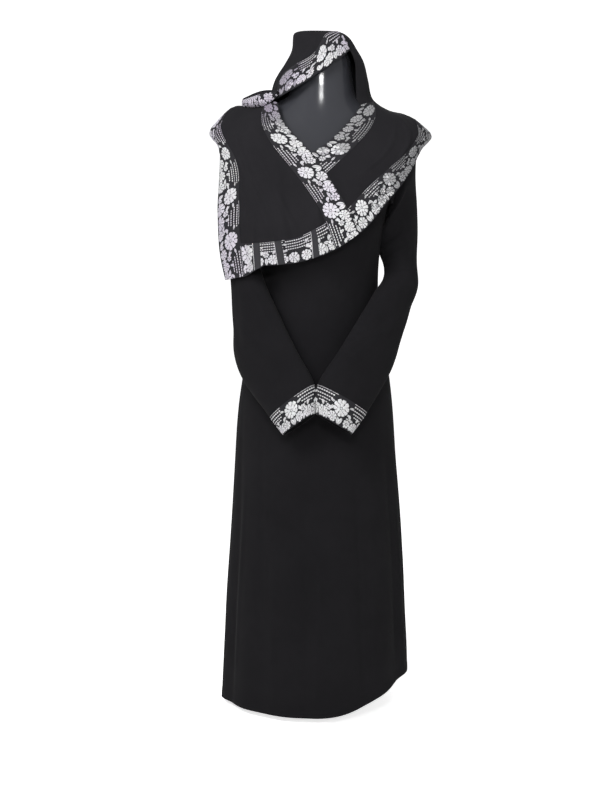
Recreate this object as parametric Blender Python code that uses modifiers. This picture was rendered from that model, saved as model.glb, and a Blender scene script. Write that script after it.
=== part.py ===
"""Kaftan worn with its matching shawl, on a limbless dress form.

Metres, +Z up, origin on the floor under the form. The front of the gown faces -Y, and +X is
the wearer's left. Angles run round the vertical axis: 0 is the wearer's left side, -90 the
front, 90 the back and 180 the wearer's right side.
"""
from collections import namedtuple

import bmesh
import bpy
import numpy as np

# Cloth, in metres
GOWN_CLOTH = 0.0015
SHAWL_CLOTH = 0.0012
BAND_CLOTH = 0.0010
SEAM = 0.0003
STRETCH_SEAM = 0.0007
BAND_WIDTH = 0.050

# Gown: stations of its hem and armholes, how much higher its left side hangs, and how far its
# skirt swings to the left
HEM_STATION = 1.460
HEM_RISE = 0.080
HEM_RISE_START = 1.200
SKIRT_SHIFT = 0.008
SKIRT_SHIFT_TOP_Z = 0.75
SKIRT_SHIFT_FULL_Z = 0.35
ARMHOLE_TOP = 0.100
ARMHOLE_LOW = 0.290
ARMHOLE_HALF_ANGLE = 31.0
ARMHOLE_STEPS = 10
ARMHOLE_LIP = 0.004
ARMHOLE_LIP_SHARE = 0.08
PANEL_COLUMNS = 28
FOLD_START_Z = 0.86

# Shawl: the hood's lower seam, how far the upper front stands off the lower one, and the
# shapes that its edges, its wings over the shoulders and its hood take
HOOD_STATION = 0.205
HOOD_CROWN = 0.014
OVERLAP_LIFT = 0.0058
OVERLAP_START_ANGLE = -132.0
OVERLAP_FULL_ANGLE = -110.0
PLEAT_LEAN = 14.0
EDGE_FLARE = 0.010
SIDE_SPREAD = 20.0
WING_FLARE = 0.022
WING_STATION = 0.345
WING_LENGTH = 0.022
SHOULDER_RISE = 0.014
SHOULDER_RISE_LEFT = 0.006
SHOULDER_STATION = 0.285
SHOULDER_LENGTH = 0.036
HOOD_SHIFT = 0.009
HOOD_SHIFT_STATION = 0.105
HOOD_SHIFT_LENGTH = 0.045
CROWN_SHIFT = -0.008
CROWN_SHIFT_STATION = 0.045
CROWN_SHIFT_LENGTH = 0.035
HOOD_LEAN = -9.0
HOOD_LEAN_ANGLE = -36.0
HOOD_LEAN_SPREAD = 16.0
HOOD_BAND_FIRST_ANGLE = -153.0
HOOD_BAND_LAST_ANGLE = -43.0
SHOULDER_SEAM_ANGLE = 0.12
HOOD_BAND_WIDTH = 0.058

# Dress form stand
POLE_RADIUS = 0.016
BASE_RADIUS = 0.120
BASE_THICKNESS = 0.014
BASE_EDGE = 0.004

# A ring round the body: how far down the cloth it lies, its height at the side, front and
# back, its half width, its depth to the front and back, and its squareness (2 is an ellipse)
Ring = namedtuple("Ring", "at side_z front_z back_z half_width front back square")

FORM_RINGS = [
    Ring(0.000, 1.5653, 1.5653, 1.5653, 0.0260, 0.0240, 0.0240, 2.0),
    Ring(0.020, 1.5540, 1.5530, 1.5540, 0.0440, 0.0400, 0.0400, 2.0),
    Ring(0.038, 1.5380, 1.5340, 1.5380, 0.0550, 0.0490, 0.0500, 2.0),
    Ring(0.070, 1.5040, 1.4930, 1.5030, 0.0660, 0.0570, 0.0590, 2.0),
    Ring(0.115, 1.4600, 1.4430, 1.4570, 0.0740, 0.0610, 0.0660, 2.0),
    Ring(0.155, 1.4250, 1.3930, 1.4190, 0.0860, 0.0660, 0.0760, 2.0),
    Ring(0.195, 1.4063, 1.3450, 1.3800, 0.1210, 0.0770, 0.0900, 2.0),
    Ring(0.235, 1.3869, 1.3010, 1.3380, 0.1600, 0.0900, 0.0990, 2.0),
    Ring(0.270, 1.3540, 1.2630, 1.3000, 0.1820, 0.1010, 0.1040, 2.0),
    Ring(0.305, 1.3210, 1.2340, 1.2680, 0.1840, 0.1090, 0.1050, 2.0),
    Ring(0.365, 1.2610, 1.1960, 1.2120, 0.1730, 0.1190, 0.1020, 2.0),
    Ring(0.460, 1.1660, 1.1420, 1.1440, 0.1480, 0.1240, 0.0950, 2.0),
    Ring(0.550, 1.0760, 1.0700, 1.0700, 0.1280, 0.1050, 0.0840, 2.0),
    Ring(0.630, 0.9960, 0.9960, 0.9960, 0.1180, 0.0880, 0.0790, 2.0),
    Ring(0.720, 0.9060, 0.9060, 0.9060, 0.1350, 0.0940, 0.0960, 2.0),
    Ring(0.820, 0.8060, 0.8060, 0.8060, 0.1540, 0.1020, 0.1170, 2.0),
    Ring(0.900, 0.7260, 0.7260, 0.7260, 0.1500, 0.0980, 0.1130, 2.0),
]

# Inner face of the gown, from the neckline to the hem
GOWN_RINGS = [
    Ring(0.000, 1.4190, 1.2360, 1.3960, 0.1000, 0.1165, 0.0920, 2.0),
    Ring(0.050, 1.3960, 1.2220, 1.3560, 0.1450, 0.1200, 0.1030, 2.0),
    Ring(0.100, 1.3740, 1.2050, 1.3200, 0.1890, 0.1250, 0.1100, 2.1),
    Ring(0.160, 1.3100, 1.1850, 1.2600, 0.1940, 0.1290, 0.1120, 2.1),
    Ring(0.220, 1.2500, 1.1650, 1.2000, 0.1830, 0.1310, 0.1080, 2.1),
    Ring(0.290, 1.1850, 1.1250, 1.1400, 0.1580, 0.1310, 0.1020, 2.1),
    Ring(0.380, 1.0950, 1.0600, 1.0650, 0.1420, 0.1270, 0.0960, 2.1),
    Ring(0.480, 0.9950, 0.9850, 0.9850, 0.1385, 0.1160, 0.0930, 2.0),
    Ring(0.600, 0.8750, 0.8750, 0.8750, 0.1560, 0.1200, 0.1110, 2.0),
    Ring(0.740, 0.7350, 0.7350, 0.7350, 0.1770, 0.1320, 0.1300, 2.0),
    Ring(0.900, 0.5750, 0.5750, 0.5750, 0.1880, 0.1440, 0.1400, 2.0),
    Ring(1.180, 0.2950, 0.2950, 0.2950, 0.2050, 0.1580, 0.1520, 2.0),
    Ring(1.460, 0.0150, 0.0150, 0.0150, 0.2150, 0.1670, 0.1620, 2.0),
]

# Inner face of the shawl, from the middle of the hood's flat top down to its lower edges
SHAWL_RINGS = [
    Ring(0.000, 1.5652, 1.5652, 1.5652, 0.0020, 0.0020, 0.0020, 2.9),
    Ring(0.045, 1.5650, 1.5640, 1.5648, 0.0540, 0.0450, 0.0450, 2.9),
    Ring(0.065, 1.5560, 1.5500, 1.5550, 0.0630, 0.0570, 0.0580, 2.5),
    Ring(0.090, 1.5310, 1.5230, 1.5310, 0.0730, 0.0640, 0.0660, 2.0),
    Ring(0.120, 1.5020, 1.4900, 1.5020, 0.0880, 0.0710, 0.0740, 2.0),
    Ring(0.160, 1.4640, 1.4480, 1.4620, 0.1040, 0.0780, 0.0840, 2.0),
    Ring(0.200, 1.4220, 1.3980, 1.4200, 0.1180, 0.0860, 0.0940, 2.0),
    Ring(0.240, 1.3970, 1.3500, 1.3770, 0.1540, 0.0990, 0.1070, 2.1),
    Ring(0.280, 1.3825, 1.3080, 1.3380, 0.1940, 0.1140, 0.1190, 2.2),
    Ring(0.320, 1.3580, 1.2680, 1.2980, 0.2300, 0.1260, 0.1270, 2.3),
    Ring(0.360, 1.3240, 1.2290, 1.2620, 0.2270, 0.1370, 0.1320, 2.5),
    Ring(0.420, 1.2640, 1.1720, 1.2040, 0.2250, 0.1470, 0.1340, 2.6),
    Ring(0.500, 1.1840, 1.0960, 1.1260, 0.2360, 0.1500, 0.1340, 2.6),
    Ring(0.600, 1.0840, 0.9980, 1.0280, 0.2320, 0.1500, 0.1330, 2.6),
    Ring(0.680, 1.0040, 0.9200, 0.9500, 0.2300, 0.1490, 0.1310, 2.6),
]

# Long soft folds of the skirt: angle, half width in degrees and depth at the hem
Fold = namedtuple("Fold", "angle spread depth")

SKIRT_FOLDS = [
    Fold(-166.0, 9.0, 0.0100),
    Fold(-139.0, 10.0, 0.0050),
    Fold(-108.0, 12.0, 0.0035),
    Fold(-74.0, 12.0, 0.0040),
    Fold(-41.0, 10.0, 0.0055),
    Fold(-15.0, 9.0, 0.0110),
    Fold(16.0, 10.0, 0.0080),
    Fold(47.0, 11.0, 0.0120),
    Fold(80.0, 12.0, 0.0090),
    Fold(112.0, 11.0, 0.0130),
    Fold(146.0, 10.0, 0.0085),
]

# A ring of a sleeve: its outer edge, its inner edge, and half its depth between them
SleeveRing = namedtuple("SleeveRing", "outer_x outer_y outer_z inner_x inner_y inner_z half_depth")

LEFT_SLEEVE = [
    SleeveRing(0.211, 0.000, 1.360, 0.164, 0.000, 1.172, 0.069),
    SleeveRing(0.218, 0.000, 1.325, 0.159, 0.000, 1.150, 0.064),
    SleeveRing(0.218, 0.000, 1.270, 0.154, 0.000, 1.124, 0.058),
    SleeveRing(0.221, 0.000, 1.190, 0.150, -0.002, 1.098, 0.055),
    SleeveRing(0.226, 0.000, 1.100, 0.150, -0.006, 1.072, 0.050),
    SleeveRing(0.224, -0.014, 1.000, 0.157, -0.040, 1.030, 0.040),
    SleeveRing(0.206, -0.042, 0.945, 0.132, -0.082, 0.990, 0.031),
    SleeveRing(0.187, -0.080, 0.880, 0.092, -0.128, 0.928, 0.027),
    SleeveRing(0.165, -0.118, 0.815, 0.050, -0.166, 0.862, 0.024),
    SleeveRing(0.112, -0.172, 0.729, 0.0120, -0.188, 0.791, 0.022),
    SleeveRing(0.078, -0.190, 0.683, 0.0070, -0.196, 0.726, 0.019),
]

RIGHT_SLEEVE = [
    SleeveRing(0.211, 0.000, 1.360, 0.171, 0.000, 1.170, 0.069),
    SleeveRing(0.214, 0.000, 1.320, 0.168, -0.003, 1.148, 0.064),
    SleeveRing(0.212, -0.004, 1.255, 0.164, -0.014, 1.120, 0.058),
    SleeveRing(0.208, -0.018, 1.170, 0.155, -0.042, 1.090, 0.049),
    SleeveRing(0.198, -0.048, 1.080, 0.138, -0.086, 1.045, 0.037),
    SleeveRing(0.190, -0.062, 0.985, 0.118, -0.112, 0.995, 0.031),
    SleeveRing(0.186, -0.070, 0.905, 0.092, -0.134, 0.948, 0.028),
    SleeveRing(0.184, -0.082, 0.842, 0.068, -0.152, 0.902, 0.026),
    SleeveRing(0.160, -0.112, 0.785, 0.040, -0.170, 0.852, 0.024),
    SleeveRing(0.099, -0.166, 0.713, 0.0120, -0.188, 0.791, 0.022),
    SleeveRing(0.068, -0.186, 0.678, 0.0070, -0.196, 0.726, 0.019),
]

# The first rings of a sleeve hang straight down; its cuff starts at this ring
HANGING_RINGS = 3
CUFF_START = 9.0

# A line of cloth down a shawl front: angle and station at its top, and on its way down
Line = namedtuple("Line", "top_angle top_at high_angle high_at mid_angle mid_at "
                          "low_angle low_at edge_angle edge_at")

LINE_STEPS = (0.0, 0.25, 0.55, 0.85, 1.0)

# The wearer's right front, on top: outer edge, band, two pleat lines, band, inner edge
RIGHT_FRONT_LINES = [
    Line(-180, 0.337, -160, 0.395, -150, 0.500, -148, 0.595, -143, 0.640),
    Line(-180, 0.287, -143, 0.352, -135, 0.445, -132, 0.540, -130, 0.611),
    Line(-180, 0.245, -136, 0.320, -123, 0.412, -118, 0.517, -118, 0.568),
    Line(-180, 0.206, -130, 0.300, -112, 0.380, -101, 0.487, -99, 0.541),
    Line(-166, 0.206, -121, 0.292, -102, 0.351, -86, 0.450, -81, 0.513),
    Line(-141, 0.206, -104, 0.272, -88, 0.330, -73, 0.437, -69, 0.486),
]

# The wearer's left front, under the other one: inner edge, band, shoulder, band, outer edge
LEFT_FRONT_LINES = [
    Line(-45, 0.206, -68, 0.236, -85, 0.270, -100, 0.308, -104, 0.330),
    Line(-17, 0.206, -46, 0.251, -72, 0.295, -87, 0.340, -92, 0.362),
    Line(0, 0.206, -42, 0.290, -66, 0.335, -82, 0.380, -87, 0.402),
    Line(0, 0.285, -38, 0.343, -60, 0.378, -76, 0.430, -82, 0.450),
    Line(0, 0.337, -27, 0.385, -51, 0.433, -69, 0.486, -77, 0.492),
]

# Pleats across the foot of the right front: angle at the band, spread and height
PLEATS = [
    Fold(-122.0, 2.8, 0.0060),
    Fold(-106.0, 2.8, 0.0065),
    Fold(-88.0, 3.0, 0.0060),
]

# Front edge of the hood: angle and station, from the wearer's right round to the left
HOOD_EDGE_ANGLES = (-180, -153, -135, -118, -109, -97, -78, -57, -43, -40, -36, 180)
HOOD_EDGE_STATIONS = (0.205, 0.204, 0.184, 0.167, 0.156, 0.137, 0.114, 0.101, 0.092, 0.096,
                      0.205, 0.205)

# Lower edge of the shawl's back, from one shoulder over the middle to the other
BACK_EDGE_ANGLES = (0, 25, 60, 90, 120, 155, 180)
BACK_EDGE_STATIONS = (0.337, 0.400, 0.500, 0.535, 0.505, 0.400, 0.337)

# Sections of the small fold at the hood's front corner: centre, half height and half depth
Section = namedtuple("Section", "x y z half_height half_depth")

TURN_SECTIONS = [
    Section(-0.1135, -0.0400, 1.4260, 0.0046, 0.0080),
    Section(-0.1235, -0.0370, 1.4250, 0.0078, 0.0120),
    Section(-0.1355, -0.0320, 1.4230, 0.0092, 0.0135),
    Section(-0.1495, -0.0260, 1.4185, 0.0086, 0.0125),
    Section(-0.1625, -0.0200, 1.4130, 0.0070, 0.0095),
    Section(-0.1735, -0.0160, 1.4090, 0.0052, 0.0062),
]


def start_scene():
    """Remove what is in the scene and make the collection for the kaftan."""
    for item in list(bpy.data.objects):
        bpy.data.objects.remove(item, do_unlink=True)
    collection = bpy.data.collections.new("kaftan_on_dress_form")
    bpy.context.scene.collection.children.link(collection)
    return collection


def make_material(name, colour, roughness, metallic=0.0):
    """A plain finish for one kind of piece."""
    material = bpy.data.materials.new(name)
    material.use_nodes = True
    shader = material.node_tree.nodes["Principled BSDF"]
    shader.inputs["Base Color"].default_value = (*colour, 1.0)
    shader.inputs["Roughness"].default_value = roughness
    shader.inputs["Metallic"].default_value = metallic
    return material


def add_object(collection, name, shape, material):
    """Put a bmesh into the collection as a named object with its material."""
    bmesh.ops.recalc_face_normals(shape, faces=shape.faces)
    mesh = bpy.data.meshes.new(name)
    shape.to_mesh(mesh)
    shape.free()
    mesh.materials.append(material)
    mesh.shade_smooth()
    mesh.set_sharp_from_angle(angle=np.radians(50.0))
    piece = bpy.data.objects.new(name, mesh)
    collection.objects.link(piece)
    return piece


def smooth_between(keys, values, at):
    """Values at the stations `at`, on a smooth curve through one value for each key."""
    keys = np.asarray(keys, float)
    values = np.asarray(values, float)
    at = np.asarray(at, float)
    slopes = np.gradient(values, keys, axis=0)
    low = np.clip(np.searchsorted(keys, at) - 1, 0, len(keys) - 2)
    shape = at.shape + (1,) * (values.ndim - 1)
    span = (keys[low + 1] - keys[low]).reshape(shape)
    t = (at - keys[low]).reshape(shape) / span
    return ((2 * t**3 - 3 * t**2 + 1) * values[low]
            + (t**3 - 2 * t**2 + t) * span * slopes[low]
            + (3 * t**2 - 2 * t**3) * values[low + 1]
            + (t**3 - t**2) * span * slopes[low + 1])


def ring_point(rings, angle, at):
    """Points of a surface given by its rings, at angles in degrees and stations."""
    angle, at = np.broadcast_arrays(np.asarray(angle, float), np.asarray(at, float))
    table = np.array(rings, float)
    values = smooth_between(table[:, 0], table[:, 1:], at)
    side_z, front_z, back_z, half_width, front, back, square = np.moveaxis(values, -1, 0)
    cosine = np.cos(np.radians(angle))
    sine = np.sin(np.radians(angle))
    reach = (np.abs(cosine)**square + np.abs(sine)**square) ** (-1 / square)
    depth = np.where(sine > 0, back, front)
    rise = np.where(sine > 0, back_z, front_z) - side_z
    return np.stack([half_width * reach * cosine, depth * reach * sine,
                     side_z + rise * sine**2], axis=-1)


def bump(value, centre, spread):
    """A soft hump of height 1."""
    return np.exp(-((value - centre) / spread) ** 2)


def ease(value, low, high):
    """Rises smoothly from 0 at `low` to 1 at `high`."""
    t = np.clip((value - low) / (high - low), 0, 1)
    return t * t * (3 - 2 * t)


def outward(point):
    """The level direction away from the axis."""
    flat = point * np.array([1.0, 1.0, 0.0])
    return flat / np.maximum(np.linalg.norm(flat, axis=-1, keepdims=True), 1e-6)


def form_point(angle, at):
    """A point of the dress form."""
    return ring_point(FORM_RINGS, angle, at)


def gown_point(angle, at):
    """A point of the gown's inner face, with the long folds of its skirt."""
    point = ring_point(GOWN_RINGS, angle, at)
    wrapped = (np.asarray(angle, float) + 180) % 360 - 180
    growth = ease(-point[..., 2], -FOLD_START_Z, 0.0)
    fold = sum(row.depth * (bump(wrapped, row.angle, row.spread)
                            + bump(wrapped, row.angle + 360, row.spread)
                            + bump(wrapped, row.angle - 360, row.spread))
               for row in SKIRT_FOLDS)
    point = point + outward(point) * (fold * growth)[..., None]
    left_side = np.clip(np.cos(np.radians(wrapped)), 0, 1) ** 2
    point[..., 0] += SKIRT_SHIFT * ease(-point[..., 2], -SKIRT_SHIFT_TOP_Z, -SKIRT_SHIFT_FULL_Z)
    point[..., 2] += HEM_RISE * left_side * ease(at, HEM_RISE_START, HEM_STATION)
    return point


def shawl_point(angle, at):
    """A point of the shawl's inner face, which stands out in a wing at each shoulder."""
    point = ring_point(SHAWL_RINGS, angle, at)
    wrapped = (np.asarray(angle, float) + 180) % 360 - 180
    left_side = bump(wrapped, 0, SIDE_SPREAD)
    right_side = bump(wrapped, 180, SIDE_SPREAD) + bump(wrapped, -180, SIDE_SPREAD)
    wing = WING_FLARE * (left_side + right_side) * bump(at, WING_STATION, WING_LENGTH)
    point = point + outward(point) * wing[..., None]
    point[..., 0] += (HOOD_SHIFT * bump(at, HOOD_SHIFT_STATION, HOOD_SHIFT_LENGTH)
                      + CROWN_SHIFT * bump(at, CROWN_SHIFT_STATION, CROWN_SHIFT_LENGTH))
    rise = SHOULDER_RISE * right_side + SHOULDER_RISE_LEFT * left_side
    point[..., 2] += rise * bump(at, SHOULDER_STATION, SHOULDER_LENGTH)
    return point


def face_direction(surface, angle, at):
    """Unit directions straight out of a surface."""
    turn, step = 0.05, 0.0005
    round_about = surface(angle + turn, at) - surface(angle - turn, at)
    down = surface(angle, at + step) - surface(angle, at - step)
    normal = np.cross(down, round_about)
    return normal / np.maximum(np.linalg.norm(normal, axis=-1, keepdims=True), 1e-12)


def grid_direction(points, centres):
    """Unit directions out of a tube given as rows of points round their centres."""
    along = np.gradient(points, axis=0)
    around = np.roll(points, -1, axis=1) - np.roll(points, 1, axis=1)
    normal = np.cross(along, around)
    normal /= np.maximum(np.linalg.norm(normal, axis=-1, keepdims=True), 1e-12)
    away = points - centres[:, None, :]
    inward = np.sum(normal * away) < 0
    return -normal if inward else normal


def make_wall(collection, name, points, normals, material, lift=0.0, thick=GOWN_CLOTH,
              around=False, capped=False):
    """A cloth wall through rows of points, from `lift` to `lift + thick` along the normals.

    Every cell is split along the same diagonal, so that layers of cloth stay parallel.
    """
    rows, columns = points.shape[:2]
    shape = bmesh.new()
    sides = []
    for height in (lift, lift + thick):
        placed = points + normals * height
        sides.append([[shape.verts.new(p) for p in row] for row in placed])
    inner, outer = sides
    wrap = columns if around else columns - 1
    for i in range(rows - 1):
        for j in range(wrap):
            k = (j + 1) % columns
            for a, b, c in (((i, j), (i + 1, j), (i + 1, k)), ((i, j), (i + 1, k), (i, k))):
                shape.faces.new((outer[a[0]][a[1]], outer[b[0]][b[1]], outer[c[0]][c[1]]))
                shape.faces.new((inner[c[0]][c[1]], inner[b[0]][b[1]], inner[a[0]][a[1]]))
    for j in range(wrap):
        k = (j + 1) % columns
        if not capped:
            shape.faces.new((inner[0][j], outer[0][j], outer[0][k], inner[0][k]))
        shape.faces.new((outer[-1][j], inner[-1][j], inner[-1][k], outer[-1][k]))
    if capped:
        shape.faces.new(outer[0])
        shape.faces.new(list(reversed(inner[0])))
    if not around:
        for i in range(rows - 1):
            shape.faces.new((outer[i][0], inner[i][0], inner[i + 1][0], outer[i + 1][0]))
            shape.faces.new((inner[i][-1], outer[i][-1], outer[i + 1][-1], inner[i + 1][-1]))
    return add_object(collection, name, shape, material)


def make_solid(collection, name, points, material):
    """A closed body through rings of points, with a flat face at each end."""
    rows, columns = points.shape[:2]
    shape = bmesh.new()
    verts = [[shape.verts.new(p) for p in row] for row in points]
    for i in range(rows - 1):
        for j in range(columns):
            k = (j + 1) % columns
            shape.faces.new((verts[i][j], verts[i + 1][j], verts[i + 1][k], verts[i][k]))
    shape.faces.new(verts[0])
    shape.faces.new(list(reversed(verts[-1])))
    return add_object(collection, name, shape, material)


def build_form(collection, material, metal):
    """The dress form: neck and torso in one, on a pole and a round base."""
    angles = np.arange(0, 360, 10.0)
    table = np.array(FORM_RINGS)[:, 0]
    stations = np.sort(np.concatenate([table, (table[3:-1] + table[4:]) / 2]))
    make_solid(collection, "form_torso", form_point(angles[None, :], stations[:, None]),
               material)
    torso_bottom = FORM_RINGS[-1].side_z
    pole_bottom = BASE_THICKNESS + SEAM
    pole_length = torso_bottom - SEAM - pole_bottom
    bpy.ops.mesh.primitive_cylinder_add(
        vertices=24, radius=POLE_RADIUS, depth=pole_length,
        location=(0, 0, pole_bottom + pole_length / 2))
    finish_primitive(collection, "form_pole", metal)
    bpy.ops.mesh.primitive_cylinder_add(
        vertices=48, radius=BASE_RADIUS, depth=BASE_THICKNESS,
        location=(0, 0, BASE_THICKNESS / 2))
    base = finish_primitive(collection, "form_base", metal)
    edge = base.modifiers.new("rounded_edge", "BEVEL")
    edge.width = BASE_EDGE
    edge.segments = 2
    edge.limit_method = "ANGLE"


def finish_primitive(collection, name, material):
    """Name the primitive just added and move it into the collection."""
    piece = bpy.context.active_object
    piece.name = name
    piece.data.name = name
    piece.data.materials.append(material)
    piece.data.shade_smooth()
    piece.data.set_sharp_from_angle(angle=np.radians(50.0))
    for owner in list(piece.users_collection):
        owner.objects.unlink(piece)
    collection.objects.link(piece)
    return piece


def armhole(turns, inset=0.0):
    """Angle off the side seam and station of points round an armhole."""
    middle = (ARMHOLE_TOP + ARMHOLE_LOW) / 2
    half = (ARMHOLE_LOW - ARMHOLE_TOP) / 2
    angle_inset = np.degrees(inset / GOWN_RINGS[3].half_width)
    off_seam = (ARMHOLE_HALF_ANGLE - angle_inset) * np.sin(turns)
    return off_seam, middle - (half - inset) * np.cos(turns)


def gown_grid():
    """Stations of the gown's rows, and how far each row's edge is off the side seam."""
    yoke = np.array([0.0, 0.034, 0.067])
    turns = np.linspace(0, np.pi, ARMHOLE_STEPS + 1)
    off_seam, hole = armhole(turns)
    skirt = np.array([0.34, 0.40, 0.47, 0.54, 0.62, 0.72, 0.84, 0.98, 1.13, 1.29, HEM_STATION])
    stations = np.concatenate([yoke, hole, skirt])
    edges = np.concatenate([np.zeros(len(yoke)), off_seam, np.zeros(len(skirt))])
    return stations, edges


def build_gown_body(collection, material):
    """Front and back of the gown, which meet at the shoulder and side seams."""
    stations, edges = gown_grid()
    half_width = ring_point(GOWN_RINGS, 0.0, stations)[..., 0]
    seam = np.degrees(SEAM / 2 / half_width)
    limit = np.maximum(edges, seam)
    share = np.linspace(0, 1, PANEL_COLUMNS + 1)
    for name, middle in (("gown_front", -90.0), ("gown_back", 90.0)):
        start = middle - 90.0 + limit
        end = middle + 90.0 - limit
        angle = start[:, None] + (end - start)[:, None] * share[None, :]
        at = np.broadcast_to(stations[:, None], angle.shape)
        make_wall(collection, name, gown_point(angle, at),
                  face_direction(gown_point, angle, at), material)


def sleeve_rings(rows, side):
    """Rings of a sleeve from its armhole to its cuff, on the inner face of its cloth."""
    turns = np.arange(2 * ARMHOLE_STEPS) * np.pi / ARMHOLE_STEPS
    off_seam, at = armhole(turns, inset=SEAM)
    angle = -off_seam if side > 0 else -180.0 + off_seam
    start = gown_point(angle, at)
    table = np.array(rows)
    outer = table[:, 0:3] * [side, 1, 1]
    inner = table[:, 3:6] * [side, 1, 1]
    centre = (outer + inner) / 2
    path = np.vstack([start.mean(axis=0), centre])
    along = np.gradient(path, axis=0)[1:]
    across = outer - inner
    front = np.cross(across, along)
    front /= np.linalg.norm(front, axis=1, keepdims=True)
    front *= -np.sign(front[:, 1:2])
    front[:HANGING_RINGS] = (0.0, -1.0, 0.0)
    rings = (centre[:, None, :] + across[:, None, :] / 2 * np.cos(turns)[None, :, None]
             + front[:, None, :] * table[:, None, 6:7] * np.sin(turns)[None, :, None])
    directions = face_direction(gown_point, angle, at)
    under = ((1 - np.cos(turns)) / 2)[:, None]
    lip = (start + directions * ARMHOLE_LIP * under
           + (rings[0] - start) * ARMHOLE_LIP_SHARE * (1 - under))
    return np.concatenate([start[None], lip[None], rings]), directions


def build_sleeve(collection, word, rows, side, material, band_material):
    """A sleeve, set into its armhole, and the cuff band on its end."""
    rings, first_directions = sleeve_rings(rows, side)
    keys = np.concatenate([[0.0, ARMHOLE_LIP_SHARE], np.arange(1.0, len(rows) + 1)])
    stations = np.concatenate([[0.0, ARMHOLE_LIP_SHARE, 0.5, 1.0, 1.5],
                               np.arange(2.0, CUFF_START + 0.5, 0.8),
                               [CUFF_START + 1.0, CUFF_START + 1.5, CUFF_START + 2.0]])
    points = smooth_between(keys, rings, stations)
    directions = grid_direction(points, points.mean(axis=1))
    directions[0] = first_directions
    make_wall(collection, "sleeve_" + word, points, directions, material, around=True)
    cuff = stations >= CUFF_START + 1.0
    make_wall(collection, "cuff_band_" + word, points[cuff], directions[cuff], band_material,
              lift=GOWN_CLOTH + SEAM, thick=BAND_CLOTH, around=True)


def spread_lines(lines, stations, columns):
    """Angles and stations of a shawl front, from its lines of cloth.

    `columns` gives how many columns lie between each line and the next.
    """
    table = np.array(lines, float).reshape(len(lines), -1, 2)
    down = smooth_between(LINE_STEPS, np.moveaxis(table, 1, 0), stations)
    parts = []
    for i, count in enumerate(columns):
        share = np.linspace(0, 1, count, endpoint=False)[None, :, None]
        parts.append(down[:, i:i + 1] * (1 - share) + down[:, i + 1:i + 2] * share)
    parts.append(down[:, -1:])
    grid = np.concatenate(parts, axis=1)
    return grid[..., 0], grid[..., 1]


def inside_shoulder_seam(angle):
    """Keep a front just off the shoulder line that it shares with the back."""
    return np.clip(angle, -180 + SHOULDER_SEAM_ANGLE, -SHOULDER_SEAM_ANGLE)


def build_right_front(collection, material, band_material):
    """The wearer's right front, pleated at its foot and lying on the left one."""
    stations = np.array([0, 0.1, 0.2, 0.3, 0.42, 0.54, 0.65, 0.75, 0.85, 0.925, 1.0])
    columns = (2, 4, 5, 4, 2)
    angle, at = spread_lines(RIGHT_FRONT_LINES, stations, columns)
    angle = inside_shoulder_seam(angle)
    at = np.maximum(at, HOOD_STATION + STRETCH_SEAM / 2)
    row = stations[:, None]
    lift = OVERLAP_LIFT * ease(angle, OVERLAP_START_ANGLE, OVERLAP_FULL_ANGLE)
    across = np.arange(angle.shape[1])[None, :]
    flare = EDGE_FLARE * ease(-across, -columns[0] * 1.5, 0.0) * ease(row, 0.1, 0.4)
    for pleat in PLEATS:
        lean = pleat.angle - (1 - row) * PLEAT_LEAN
        lift = lift + pleat.depth * bump(angle, lean, pleat.spread) * ease(row, 0.2, 0.9)
    lift = lift + flare
    directions = face_direction(shawl_point, angle, at)
    points = shawl_point(angle, at) + directions * lift[..., None]
    make_wall(collection, "shawl_front_right", points, directions, material,
              thick=SHAWL_CLOTH)
    over = SHAWL_CLOTH + SEAM
    make_wall(collection, "band_right_outer", points[:, :3], directions[:, :3],
              band_material, lift=over, thick=BAND_CLOTH)
    make_wall(collection, "band_right_inner", points[:, -3:], directions[:, -3:],
              band_material, lift=over, thick=BAND_CLOTH)
    make_wall(collection, "band_right_foot", *trimmed(points, directions, 8, 2),
              band_material, lift=over, thick=BAND_CLOTH)


def trimmed(points, directions, first_row, side_columns):
    """The foot rows of a front, with their ends pulled in from the bands beside them."""
    part = points[first_row:, side_columns:-side_columns].copy()
    for column, beside in ((0, 1), (-1, -2)):
        step = part[:, beside] - part[:, column]
        length = np.linalg.norm(step, axis=-1, keepdims=True)
        part[:, column] += step / length * STRETCH_SEAM
    return part, directions[first_row:, side_columns:-side_columns]


def build_left_front(collection, material, band_material):
    """The wearer's left front, which passes under the right one."""
    stations = np.array([0, 0.12, 0.25, 0.4, 0.55, 0.7, 0.85, 1.0])
    angle, at = spread_lines(LEFT_FRONT_LINES, stations, (2, 3, 3, 2))
    angle = inside_shoulder_seam(angle)
    at = np.maximum(at, HOOD_STATION + STRETCH_SEAM / 2)
    directions = face_direction(shawl_point, angle, at)
    points = shawl_point(angle, at)
    make_wall(collection, "shawl_front_left", points, directions, material,
              thick=SHAWL_CLOTH)
    over = SHAWL_CLOTH + SEAM
    make_wall(collection, "band_left_inner", points[:, :3], directions[:, :3],
              band_material, lift=over, thick=BAND_CLOTH)
    make_wall(collection, "band_left_outer", points[:, -3:], directions[:, -3:],
              band_material, lift=over, thick=BAND_CLOTH)


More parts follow.
